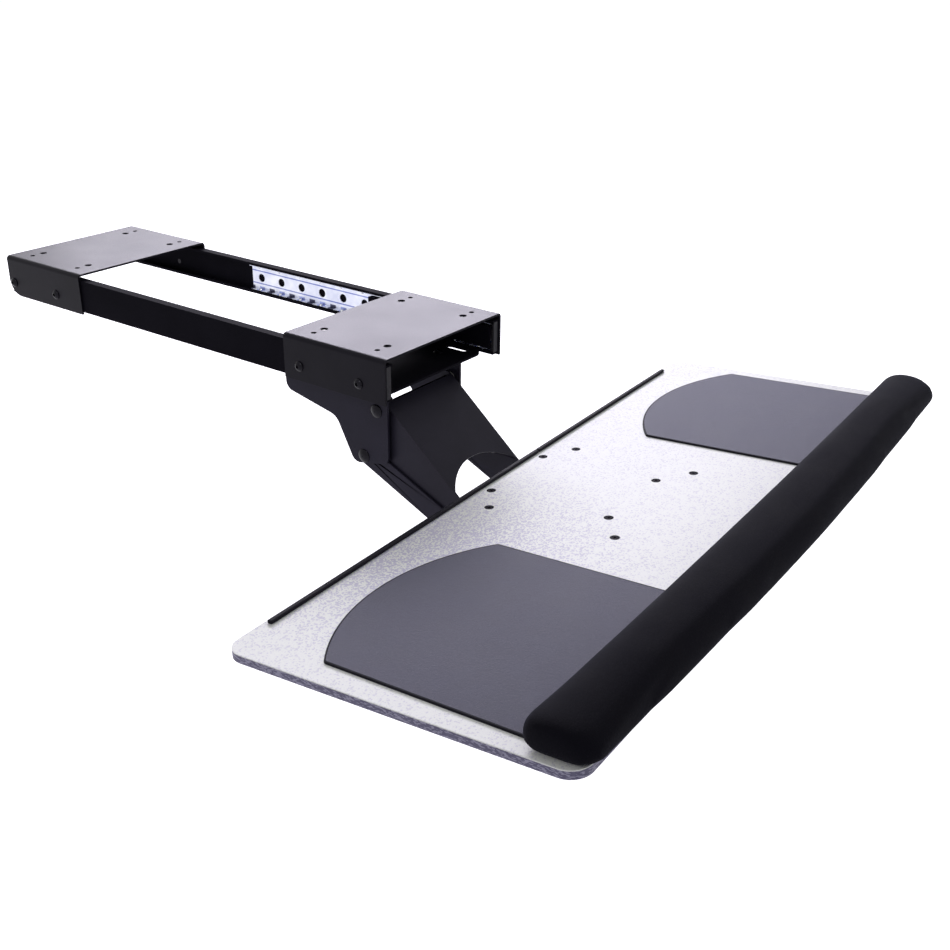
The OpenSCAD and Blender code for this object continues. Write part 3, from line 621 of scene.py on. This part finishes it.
@dataclass(frozen=True)
class KnitFabric(PadCloth):
    """Black stretch knit over foam: a cloth of small loops, with a faint blue sheen."""

    colour: Colour = (0.0024, 0.0022, 0.0040)
    light_gain: float = 2.0
    specular: float = 0.05
    roughness: float = 0.8
    sheen: float = 0.05
    sheen_roughness: float = 0.35
    sheen_tint: Colour = (0.72, 0.74, 1.0)
    thread: float = 0.0008
    thread_tone: float = 0.35
    thread_depth: float = 0.00016
    lint: float = 0.0011
    lint_tone: float = 0.15
    lint_height: float = 0.3
    drift: float = 0.035
    drift_gloss: float = 0.15

    def threads(self, paint: Paint, at: Shade) -> Shade:
        """The height of the loops from 0 to 1."""
        return paint.noise(at, self.thread, detail=1.0)


@functools.cache
def made(finish: Finish) -> bpy.types.Material:
    """The finish's material, which is made once."""
    return finish.material()


BRACKET_COAT = PaintedSteel("bracket_coat", (0.0034, 0.0030, 0.0056), roughness=0.36, specular=0.10)
RAIL_COAT = PaintedSteel("rail_coat", (0.0034, 0.0030, 0.0054), roughness=0.7, specular=0.03)
CHEEK_COAT = PaintedSteel("cheek_coat", (0.0110, 0.0100, 0.0180), roughness=0.5)
ARM_COAT = PaintedSteel("arm_coat", (0.0115, 0.0105, 0.0175), roughness=0.42)
LINK_COAT = PaintedSteel("link_coat", (0.0125, 0.0115, 0.0205), roughness=0.45)
SCREW_COAT = PaintedSteel(
    "screw_coat", (0.003, 0.0028, 0.0045), roughness=0.2, specular=0.16, peel=0.0006, peel_depth=0.00001
)
TRAY_SCREW_COAT = PaintedSteel(
    "tray_screw_coat", (0.004, 0.0036, 0.006), roughness=0.7, specular=0.08, peel=0.0006, peel_depth=0.00001
)
PIN_METAL = PlatedMetal("pin_metal", (0.30, 0.29, 0.32), roughness=0.28, draw=EVEN)
ZINC = PlatedMetal("zinc_plate", (0.62, 0.68, 0.84), roughness=0.36)
BALL_METAL = PlatedMetal("ball_metal", (0.72, 0.73, 0.77), roughness=0.14, draw=EVEN)
BRASS = PlatedMetal("insert_brass", (0.72, 0.52, 0.24), roughness=0.3, draw=EVEN)
PALE_NYLON = MouldedPlastic("pale_nylon", (0.62, 0.60, 0.54), roughness=0.5)
BLACK_PLASTIC = MouldedPlastic("black_plastic", (0.010, 0.009, 0.013), roughness=0.5)
BLACK_RUBBER = MouldedPlastic(
    "black_rubber", (0.006, 0.0055, 0.010), roughness=0.65, grain=0.0005, grain_depth=0.00006, specular=0.12
)


# --------------------------------------------------
# Bench: what every piece is made with
# --------------------------------------------------


def clear_bench() -> None:
    """Leaves edit mode and deselects everything."""
    if bpy.context.object is not None and bpy.context.object.mode != "OBJECT":
        bpy.ops.object.mode_set(mode="OBJECT")
    bpy.ops.object.select_all(action="DESELECT")


def take(piece: bpy.types.Object) -> None:
    """Makes a piece the active object and the only one selected.

    Args:
        piece: The object.
    """
    clear_bench()
    piece.select_set(True)
    bpy.context.view_layer.objects.active = piece


def edit(piece: bpy.types.Object) -> None:
    """Takes a piece into edit mode, set to pick points, with nothing selected on it.

    Args:
        piece: The object.
    """
    take(piece)
    bpy.ops.object.mode_set(mode="EDIT")
    bpy.ops.mesh.select_mode(type="VERT")
    bpy.ops.mesh.select_all(action="DESELECT")


def pick(piece: bpy.types.Object, kind: Element, wanted: Callable[[Any], bool]) -> None:
    """Selects what is wanted of the mesh in edit mode, and nothing else.

    Args:
        piece: The object in edit mode.
        kind: What is picked.
        wanted: Tells whether an element is wanted.
    """
    bpy.ops.mesh.select_mode(type=kind.value)
    bpy.ops.mesh.select_all(action="DESELECT")
    mesh = bmesh.from_edit_mesh(piece.data)
    for element in getattr(mesh, kind.name.lower()):
        if wanted(element):
            element.select_set(True)
    mesh.select_flush_mode()
    bmesh.update_edit_mesh(piece.data)


def apply_modifier(piece: bpy.types.Object, kind: str, **settings: Any) -> None:
    """Adds a modifier and applies it.

    Args:
        piece: The object.
        kind: The modifier's type.
        **settings: Its properties.
    """
    take(piece)
    modifier = piece.modifiers.new(kind.lower(), kind)
    configure(modifier, settings)
    bpy.ops.object.modifier_apply(modifier=modifier.name)


def coordinates(piece: bpy.types.Object) -> np.ndarray:
    """Reads where a mesh's points are.

    Args:
        piece: The object.

    Returns:
        Their places, one row each.
    """
    flat = np.empty(len(piece.data.vertices) * 3)
    piece.data.vertices.foreach_get("co", flat)
    return flat.reshape(-1, 3)


def set_coordinates(piece: bpy.types.Object, places: np.ndarray) -> None:
    """Moves a mesh's points.

    Args:
        piece: The object.
        places: The new places, one row each.
    """
    piece.data.vertices.foreach_set("co", places.ravel())
    piece.data.update()


def finish_piece(piece: bpy.types.Object, name: str, body: str) -> None:
    """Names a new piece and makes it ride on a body.

    Args:
        piece: The object, with its place in its mesh.
        name: The piece's name.
        body: The body that it rides on.
    """
    piece.name = name
    piece.data.name = name
    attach(piece, body)
    clear_bench()
    LOG.info("%s: %d faces on %s", name, len(piece.data.polygons), body)


def dress(nodes: Iterable[str], finish: Finish, edge: float = 0.0, segments: int = 2) -> None:
    """Gives CAD nodes a finish, and rounds their sharp edges with live modifiers.

    Args:
        nodes: The nodes' names.
        finish: What they are made of.
        edge: Width of the rounding, or 0 for none.
        segments: Steps of the rounding.
    """
    rounding = {"width": edge, "segments": segments, "limit_method": "ANGLE", "angle_limit": SHARP}
    for name in nodes:
        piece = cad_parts[name]
        piece.data.materials.clear()
        piece.data.materials.append(made(finish))
        if edge > 0:
            configure(piece.modifiers.new("weld", "WELD"), {"merge_threshold": WELD_REACH})
            configure(piece.modifiers.new("edge", "BEVEL"), rounding)
        LOG.info("%s: dressed in %s", name, made(finish).name)


# --------------------------------------------------
# Sub-assemblies
# --------------------------------------------------


@dataclass
class Track:
    """Desk brackets, rails, their screws and stops, and the ball retainers between them."""

    stop_edge: float = 0.0005
    screw_edge: float = 0.0002

    def build(self) -> None:
        """Dresses the track."""
        dress(("front_bracket", "rear_bracket"), BRACKET_COAT)
        dress(("outer_rail_left", "outer_rail_right"), RAIL_COAT)
        dress(("rail_screws",), SCREW_COAT, self.screw_edge)
        dress(("rail_end_stops",), BLACK_PLASTIC, self.stop_edge)
        dress(("ball_retainer_left", "ball_retainer_right"), RetainerSteel("retainer_steel"))
        dress(("bearing_balls_left", "bearing_balls_right"), BALL_METAL)


@dataclass
class Carriage:
    """Inner rails, carriage plate, cheeks and what bolts them together."""

    sheet_edge: float = 0.0005
    small_edge: float = 0.0002

    def build(self) -> None:
        """Dresses the carriage."""
        dress(("inner_rail_left", "inner_rail_right"), RAIL_COAT, self.small_edge)
        dress(("carriage_plate",), RAIL_COAT, self.sheet_edge)
        dress(("cheek_left", "cheek_right"), CHEEK_COAT, self.sheet_edge)
        dress(("carriage_screws", "cheek_bolts"), SCREW_COAT, self.small_edge)
        dress(("cheek_nuts",), ZINC, self.small_edge)


@dataclass
class Arm:
    """Upper arm, lower links, their pins, bushes and washers."""

    sheet_edge: float = 0.0007
    small_edge: float = 0.0002

    def build(self) -> None:
        """Dresses the arm."""
        dress(("upper_arm",), ARM_COAT, self.sheet_edge)
        dress(("lower_link_left", "lower_link_right", "link_spacer"), LINK_COAT, self.sheet_edge)
        dress(("rear_pivot_shaft", "rear_link_pins"), SCREW_COAT, self.small_edge)
        dress(("front_pivot_shaft", "front_link_shaft"), PIN_METAL, self.small_edge)
        dress(("pivot_bushes", "link_washers"), PALE_NYLON)


@dataclass
class Head:
    """Head bracket, tilt plate, clamp, knob and the swivel under the board."""

    sheet_edge: float = 0.0005
    small_edge: float = 0.0002
    knob_edge: float = 0.0012
    knob_steps: int = 3

    def build(self) -> None:
        """Dresses the head and the swivel."""
        zinc_plated = ("clamp_bolt", "clamp_washers", "swivel_post", "swivel_washer", "swivel_nut")
        dress(("head_bracket", "tilt_plate", "swivel_plate"), CHEEK_COAT, self.sheet_edge)
        dress(("tilt_bolt",), SCREW_COAT, self.small_edge)
        dress(zinc_plated, ZINC, self.small_edge)
        dress(("swivel_glide",), PALE_NYLON, self.small_edge)
        dress(("clamp_knob",), BLACK_PLASTIC, self.knob_edge, self.knob_steps)
        dress(("knob_insert",), BRASS)


@dataclass
class MousePad:
    """Thin pad on the board: slate cloth on black rubber, straight sides and a round back edge."""

    side: Side
    width: float = 0.197
    outer: float = 0.3253
    thickness: float = 0.0018
    arc: float = 0.160
    arc_steps: int = 28
    back: float = 0.0355
    front: float = -0.157
    turn: float = 0.0
    corner: float = 0.0018
    corner_steps: int = 6
    round_over: float = 0.0006
    round_steps: int = 3
    rim: float = 0.0009
    smooth_below: float = math.radians(35)
    # The cloth's face looks up and has more corners than any other
    upward: float = 0.99
    other_corners: int = 8

    @property
    def middle(self) -> float:
        """How far to the user's right the pad's middle is."""
        return self.side.value * (self.outer - self.width / 2)

    def outline(self) -> bpy.types.Object:
        """Draws the pad's flat shape.

        Its round back edge is spun, and its straight sides are pulled from the ends.

        Returns:
            The flat pad in the tray's frame, in edit mode.
        """
        half = self.width / 2
        centre = Vector((self.middle, self.back - self.arc, 0))
        sweep = math.asin(half / self.arc)
        shoulder = centre.y + self.arc * math.cos(sweep)
        pull = {"value": (0, self.front - shoulder, 0)}
        clear_bench()
        bpy.ops.mesh.primitive_plane_add(size=0.01, location=(0, 0, 0))
        pad = bpy.context.object
        edit(pad)
        bpy.ops.mesh.select_all(action="SELECT")
        bpy.ops.mesh.merge(type="CENTER")
        bpy.ops.transform.translate(value=(self.middle - half, shoulder, 0))
        bpy.ops.mesh.spin(steps=self.arc_steps, angle=2 * sweep, center=centre, axis=(0, 0, 1))
        for side in Side:
            end = Vector((self.middle + side.value * half, shoulder, 0))
            pick(pad, Element.VERTS, lambda v: (v.co - end).length < NEAR)
            bpy.ops.mesh.extrude_region_move(TRANSFORM_OT_translate=pull)
        pick(pad, Element.VERTS, lambda v: v.co.y < self.front + NEAR)
        bpy.ops.mesh.edge_face_add()
        bpy.ops.mesh.select_all(action="SELECT")
        bpy.ops.mesh.remove_doubles(threshold=SAME)
        bpy.ops.mesh.edge_face_add()
        return pad

    def is_corner(self, edge: bmesh.types.BMEdge) -> bool:
        """Tells whether an edge of the raised pad stands upright at one of its four corners.

        Args:
            edge: The edge.

        Returns:
            Whether it does.
        """
        first, second = (v.co for v in edge.verts)
        upright = abs(first.x - second.x) < SAME and abs(first.y - second.y) < SAME
        return upright and abs(abs(first.x - self.middle) - self.width / 2) < NEAR

    def raise_sheet(self, pad: bpy.types.Object) -> None:
        """Gives the flat pad its thickness, its rounded corners and edge, and the rim round its cloth.

        Args:
            pad: The flat pad, in edit mode.
        """
        bpy.ops.mesh.select_all(action="SELECT")
        bpy.ops.mesh.extrude_region_move(TRANSFORM_OT_translate={"value": (0, 0, self.thickness)})
        bpy.ops.mesh.select_all(action="SELECT")
        bpy.ops.mesh.normals_make_consistent(inside=False)
        pick(pad, Element.EDGES, self.is_corner)
        bpy.ops.mesh.bevel(affect="EDGES", offset=self.corner, segments=self.corner_steps)
        top = self.thickness - SAME
        pick(pad, Element.EDGES, lambda e: all(v.co.z > top for v in e.verts))
        bpy.ops.mesh.bevel(affect="EDGES", offset=self.round_over, segments=self.round_steps)
        pick(pad, Element.FACES, lambda f: f.normal.z > self.upward and len(f.verts) > self.other_corners)
        bpy.ops.mesh.inset(thickness=self.rim)
        bpy.ops.object.mode_set(mode="OBJECT")

    def build(self) -> None:
        """Models the pad and puts it on the tray in place of the CAD pad."""
        pad = self.outline()
        self.raise_sheet(pad)
        pad.data.materials.append(made(PadCloth("pad_cloth")))
        pad.data.materials.append(made(BLACK_RUBBER))
        cloth = max(pad.data.polygons, key=lambda f: f.area if f.normal.z > self.upward else 0)
        for polygon in pad.data.polygons:
            polygon.material_index = 0 if polygon.index == cloth.index else 1
        bpy.ops.object.shade_smooth_by_angle(angle=self.smooth_below)
        middle = Vector((self.middle, (self.back + self.front) / 2, 0))
        own = Matrix.Translation(middle) @ Matrix.Rotation(self.turn, 4, "Z") @ Matrix.Translation(-middle)
        pad.data.transform(TRAY_FRAME @ own)
        side = self.side.name.lower()
        finish_piece(pad, f"pad_{side}", "tray")
        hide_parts(f"mouse_pad_{side}")


def between(a: float, b: float, c: float, d: float, t: float) -> float:
    """A value between b and c on the smooth curve through four values in a row.

    Args:
        a: The value before b.
        b: The value at the stretch's start.
        c: The value at its end.
        d: The value after c.
        t: How far along the stretch, from 0 to 1.

    Returns:
        The value on the curve.
    """
    square = (2 * a - 5 * b + 4 * c - d) * t * t
    cube = (3 * b - a - 3 * c + d) * t**3
    return 0.5 * (2 * b + (c - a) * t + square + cube)


@dataclass(frozen=True)
class Dent:
    """A hollow in the foam's front face: how far it is to the user's right, its reach and its depth."""

    centre: float
    reach: float
    depth: float


@dataclass
class PalmRest:
    """Foam bolster in black knit along the front of the tray, crowned on top and round at its ends."""

    length: float = 0.684
    back: float = -0.151
    depth: float = 0.0615
    height: float = 0.026
    bottom: float = 0.0018
    bow: float = 0.0115
    bow_power: float = 1.5
    # The length of the round ends, and the least that the round comes down to
    end: float = 0.017
    tip: float = 0.004
    # The share of the depth that stays at the ends, and the share that goes with the round
    blunt: float = 0.42
    taper: float = 0.58
    # The height towards which the ends flatten, and how slowly they do
    waist: float = 0.004
    crown_power: float = 0.12
    # The starting shell is a little small, and is filled out at its front
    start_inset: float = 0.0012
    front_fill: float = 0.0014
    stations: int = 72
    profile_steps: int = 3
    voxel: float = 0.0042
    # The simulation's push and its frames, how far a point may move, and how high the cloth is glued
    pressure: float = 4.0
    frames: int = 20
    swell: float = 0.004
    glue: float = 0.0008
    # The height of the dents and how far they fade above and below it
    dent_height: float = 0.0145
    dent_fade: float = 0.0065
    # At the user's left end the back is drawn out
    flare: float = 0.003
    flare_length: float = 0.06
    flare_depth: float = 0.02
    # The seat on the base, from the ends and from the back, and how far the rest of it clears the board
    seat_end: float = 0.012
    seat_rear: float = 0.006
    seat_front: float = 0.046
    clearance: float = 0.0004

    DENTS: ClassVar[tuple[Dent, ...]] = (Dent(0.062, 0.028, 0.0014), Dent(0.21, 0.05, 0.0006))

    CLOTH: ClassVar[Mapping[str, float | bool]] = {
        "quality": 6,
        "mass": 0.25,
        "tension_stiffness": 12,
        "compression_stiffness": 12,
        "shear_stiffness": 6,
        "bending_stiffness": 0.6,
        "use_pressure": True,
    }

    # Closed section from the back over the top, as shares of the half depth (back is -1) and of the height
    PROFILE: ClassVar[tuple[Span, ...]] = (
        (-0.80, 0.00), (-0.94, 0.05), (-1.00, 0.24), (-0.985, 0.50), (-0.90, 0.75), (-0.72, 0.92),
        (-0.45, 1.00), (-0.10, 1.00), (0.20, 0.955), (0.48, 0.87), (0.72, 0.755), (0.88, 0.62),
        (0.965, 0.46), (1.00, 0.28), (0.96, 0.09), (0.86, 0.00), (0.50, 0.00), (0.00, 0.00),
        (-0.45, 0.00),
    )

    def front_at(self, x: float) -> float:
        """Where the front edge is, at a distance x from the middle."""
        return self.back - self.depth + self.bow * abs(2 * x / self.length) ** self.bow_power

    def ring(self, x: float) -> list[Vector]:
        """The section at a distance x from the middle.

        Args:
            x: The distance, to the user's right.

        Returns:
            Its points, from the back over the top to the front and under.
        """
        over = max(0.0, abs(x) - self.length / 2 + self.end) / self.end
        round_end = math.sqrt(max(self.tip, 1 - over**3))
        rear, front = self.back - self.start_inset, self.front_at(x) - self.front_fill
        middle = (rear + front) / 2
        half = (rear - front) / 2 * (self.blunt + self.taper * round_end)
        tall = self.height - self.start_inset - self.bottom
        grow = round_end**self.crown_power
        count = len(self.PROFILE)
        points = []
        for i in range(count):
            a, b, c, d = (self.PROFILE[(i + k) % count] for k in (-1, 0, 1, 2))
            for step in range(self.profile_steps):
                t = step / self.profile_steps
                u, w = (between(a[n], b[n], c[n], d[n], t) for n in (0, 1))
                z = self.bottom + max(0.0, w) * tall
                points.append(Vector((x, middle - u * half, self.waist + (z - self.waist) * grow)))
        return points

    def shell(self) -> bpy.types.Object:
        """Lofts the closed starting shell through its sections, which stand closer towards the ends.

        Returns:
            The shell, in the tray's frame.
        """
        turns = [math.pi * i / self.stations for i in range(self.stations + 1)]
        rings = [self.ring(-self.length / 2 * math.cos(turn)) for turn in turns]
        count = len(rings[0])
        faces = [
            (near + j, near + (j + 1) % count, near + count + (j + 1) % count, near + count + j)
            for near in range(0, self.stations * count, count)
            for j in range(count)
        ]
        faces += [tuple(range(count))[::-1], tuple(self.stations * count + j for j in range(count))]
        mesh = bpy.data.meshes.new("palm_shell")
        mesh.from_pydata([p for ring in rings for p in ring], [], faces)
        shell = bpy.data.objects.new("palm_shell", mesh)
        bpy.context.scene.collection.objects.link(shell)
        edit(shell)
        bpy.ops.mesh.select_all(action="SELECT")
        bpy.ops.mesh.normals_make_consistent(inside=False)
        clear_bench()
        return shell

    def swell_foam(self, rest: bpy.types.Object) -> None:
        """Lets the cloth press outwards over the foam, and holds how far it may move.

        Args:
            rest: The remeshed shell.
        """
        before = coordinates(rest)
        held = rest.vertex_groups.new(name="held")
        held.add([i for i, p in enumerate(before) if p[2] < self.bottom + self.glue], 1.0, "REPLACE")
        cloth = rest.modifiers.new("cloth", "CLOTH")
        configure(cloth.settings, self.CLOTH)
        cloth.settings.uniform_pressure_force = self.pressure
        cloth.settings.vertex_group_mass = held.name
        cloth.settings.effector_weights.gravity = 0
        cloth.point_cache.frame_start = 1
        cloth.point_cache.frame_end = self.frames
        for step in range(1, self.frames + 1):
            bpy.context.scene.frame_set(step)
        take(rest)
        bpy.ops.object.modifier_apply(modifier=cloth.name)
        move = coordinates(rest) - before
        far = np.linalg.norm(move, axis=1, keepdims=True)
        move *= np.minimum(1.0, self.swell / np.maximum(far, TINY))
        set_coordinates(rest, before + move)

    def settle(self, rest: bpy.types.Object) -> None:
        """Presses the shape into what the foam shows: dents in the front face, and a flat seat on the base.

        Args:
            rest: The swollen shape, in the tray's frame.
        """
        places = coordinates(rest)
        # These are views, so what changes them moves the points
        x, y, z = places[:, 0], places[:, 1], places[:, 2]
        front = np.clip((self.back - self.depth / 2 - y) / (self.depth / 2), 0, 1)
        level = np.exp(-(((z - self.dent_height) / self.dent_fade) ** 2))
        for dent in self.DENTS:
            y += dent.depth * (np.exp(-(((x - dent.centre) / dent.reach) ** 2)) * level * front**3)
        left = np.clip((-x - self.length / 2 + self.flare_length) / self.flare_length, 0, 1)
        rear = np.clip((y - self.back + self.flare_depth) / self.flare_depth, 0, 1)
        y += self.flare * left**2 * rear
        inside = np.abs(x) < self.length / 2 - self.seat_end
        seat = inside & (y < self.back - self.seat_rear) & (y > self.back - self.seat_front)
        z[:] = np.maximum(z, np.where(seat, self.bottom, self.clearance))
        set_coordinates(rest, places)

    def build(self) -> None:
        """Makes the palm rest and puts it on the tray in place of the CAD one."""
        rest = self.shell()
        apply_modifier(rest, "REMESH", mode="VOXEL", voxel_size=self.voxel, use_smooth_shade=True)
        self.swell_foam(rest)
        self.settle(rest)
        apply_modifier(rest, "SMOOTH", factor=0.5, iterations=4)
        apply_modifier(rest, "SUBSURF", levels=1, render_levels=1)
        rest.data.materials.clear()
        rest.data.materials.append(made(KnitFabric("palm_knit")))
        bpy.ops.object.shade_smooth()
        rest.data.transform(TRAY_FRAME)
        finish_piece(rest, "palm_cushion", "tray")
        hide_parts("palm_rest")


@dataclass
class Tray:
    """The board with its screws and strip, the mouse pads and the palm rest."""

    board_edge: float = 0.0003
    strip_edge: float = 0.0013
    strip_steps: int = 4
    left_front: float = -0.1545
    left_turn: float = math.radians(-1.8)

    def build(self) -> None:
        """Dresses the board and models what lies on it."""
        dress(("tray_core",), CompactBoard("board_core"))
        dress(("tray_laminate",), SpeckledLaminate("board_top"), self.board_edge)
        dress(("tray_screws",), TRAY_SCREW_COAT)
        dress(("stop_strip_left", "stop_strip_right"), BLACK_RUBBER, self.strip_edge, self.strip_steps)
        dress(("palm_rest_base",), BLACK_PLASTIC)
        MousePad(Side.LEFT, front=self.left_front, turn=self.left_turn).build()
        MousePad(Side.RIGHT).build()
        PalmRest().build()


# --------------------------------------------------
# Studio
# --------------------------------------------------


@dataclass(frozen=True)
class Softbox:
    """A lamp: where it hangs, its width and height, its power in watts and its colour."""

    name: str
    at: Point
    size: Span
    power: float
    colour: Colour = WHITE

    def hang(self, aim: Point) -> None:
        """Hangs the lamp.

        Args:
            aim: What it points at.
        """
        light = bpy.data.lights.new(self.name, "AREA")
        light.shape = "RECTANGLE"
        light.size, light.size_y = self.size
        light.energy = self.power
        light.color = self.colour
        lamp = bpy.data.objects.new(self.name, light)
        bpy.context.scene.collection.objects.link(lamp)
        lamp.location = self.at
        lamp.rotation_euler = (Vector(aim) - Vector(self.at)).to_track_quat("-Z", "Y").to_euler()
        lamp.visible_camera = False


@dataclass
class Studio:
    """Pale floor, soft light and the camera at the photograph's angle."""

    # How bright the white world is as light
    sky_level: float = 0.4
    floor_z: float = -0.42
    floor_half: float = 30.0
    floor_colour: Colour = (0.82, 0.82, 0.83)
    floor_roughness: float = 0.9
    floor_specular: float = 0.1
    # What is added to the floor where it is seen, so that it reads as white
    floor_glow: float = 0.68
    lamp_aim: Point = (0.0, -0.05, -0.05)
    camera_at: Point = (-0.8043, -0.6248, 0.3471)
    yaw: float = math.radians(55.14)
    pitch: float = math.radians(25.83)
    roll: float = math.radians(-1.21)
    lens: float = 47.01
    sensor: float = 36.0
    shift: Span = (-0.0308, 0.0143)
    view_end: float = 100.0

    # Overhead, a low one behind for the top faces, and a small one for the screw heads
    LAMPS: ClassVar[tuple[Softbox, ...]] = (
        Softbox("overhead", at=(0.1, 0.0, 2.4), size=(1.6, 1.6), power=3),
        Softbox("behind", at=(2.05, 1.75, 1.25), size=(2.2, 0.9), power=84, colour=(0.90, 0.86, 1.0)),
        Softbox("side", at=(-1.6, -0.2, 1.1), size=(0.15, 0.15), power=3),
    )

    def sky(self) -> None:
        """Makes the world: white where it is seen, softer as light."""
        world = bpy.data.worlds.new("studio")
        bpy.context.scene.world = world
        world.use_nodes = True
        tree = world.node_tree
        strength = seen(tree) * (1 - self.sky_level) + self.sky_level
        background = tree.nodes["Background"]
        background.inputs["Color"].default_value = (*WHITE, 1)
        tree.links.new(strength.socket, background.inputs["Strength"])

    def floor(self) -> None:
        """Lays a wide pale floor far enough below to keep only a faint shadow."""
        clear_bench()
        bpy.ops.mesh.primitive_plane_add(size=2 * self.floor_half, location=(0, 0, self.floor_z))
        floor = bpy.context.object
        floor.name = "floor"
        paint = Paint(
            "floor_paint",
            Base_Color=(*self.floor_colour, 1),
            Roughness=self.floor_roughness,
            Specular_IOR_Level=self.floor_specular,
        )
        tree = paint.tree
        glow = tree.nodes.new("ShaderNodeEmission")
        both = tree.nodes.new("ShaderNodeAddShader")
        share = seen(tree) * self.floor_glow
        tree.links.new(share.socket, glow.inputs["Strength"])
        tree.links.new(paint.shader.outputs[0], both.inputs[0])
        tree.links.new(glow.outputs[0], both.inputs[1])
        tree.links.new(both.outputs[0], tree.nodes["Material Output"].inputs["Surface"])
        floor.data.materials.append(paint.material)

    def camera(self) -> None:
        """Sets the camera that was solved from the photograph."""
        level = math.cos(self.pitch)
        forward = Vector((math.sin(self.yaw) * level, math.cos(self.yaw) * level, -math.sin(self.pitch)))
        right = Vector((math.cos(self.yaw), -math.sin(self.yaw), 0))
        down = forward.cross(right)
        c, s = math.cos(self.roll), math.sin(self.roll)
        across, along = c * right + s * down, c * down - s * right
        turn = Matrix((across, -along, -forward)).transposed()
        data = bpy.data.cameras.new("camera")
        data.lens = self.lens
        data.sensor_width = self.sensor
        data.shift_x, data.shift_y = self.shift
        data.clip_end = self.view_end
        camera = bpy.data.objects.new("camera", data)
        bpy.context.scene.collection.objects.link(camera)
        camera.matrix_world = Matrix.Translation(self.camera_at) @ turn.to_4x4()
        bpy.context.scene.camera = camera

    def build(self) -> None:
        """Sets up the studio."""
        bpy.context.scene.view_settings.view_transform = "Standard"
        self.sky()
        self.floor()
        for lamp in self.LAMPS:
            lamp.hang(self.lamp_aim)
        self.camera()


def main() -> None:
    """Builds each sub-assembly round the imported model, then the studio."""
    logging.basicConfig(level=logging.INFO, format="%(name)s: %(message)s")
    clear_bench()
    for assembly in (Track(), Carriage(), Arm(), Head(), Tray(), Studio()):
        LOG.info("building %s", type(assembly).__name__)
        assembly.build()


if __name__ == "__main__":
    main()
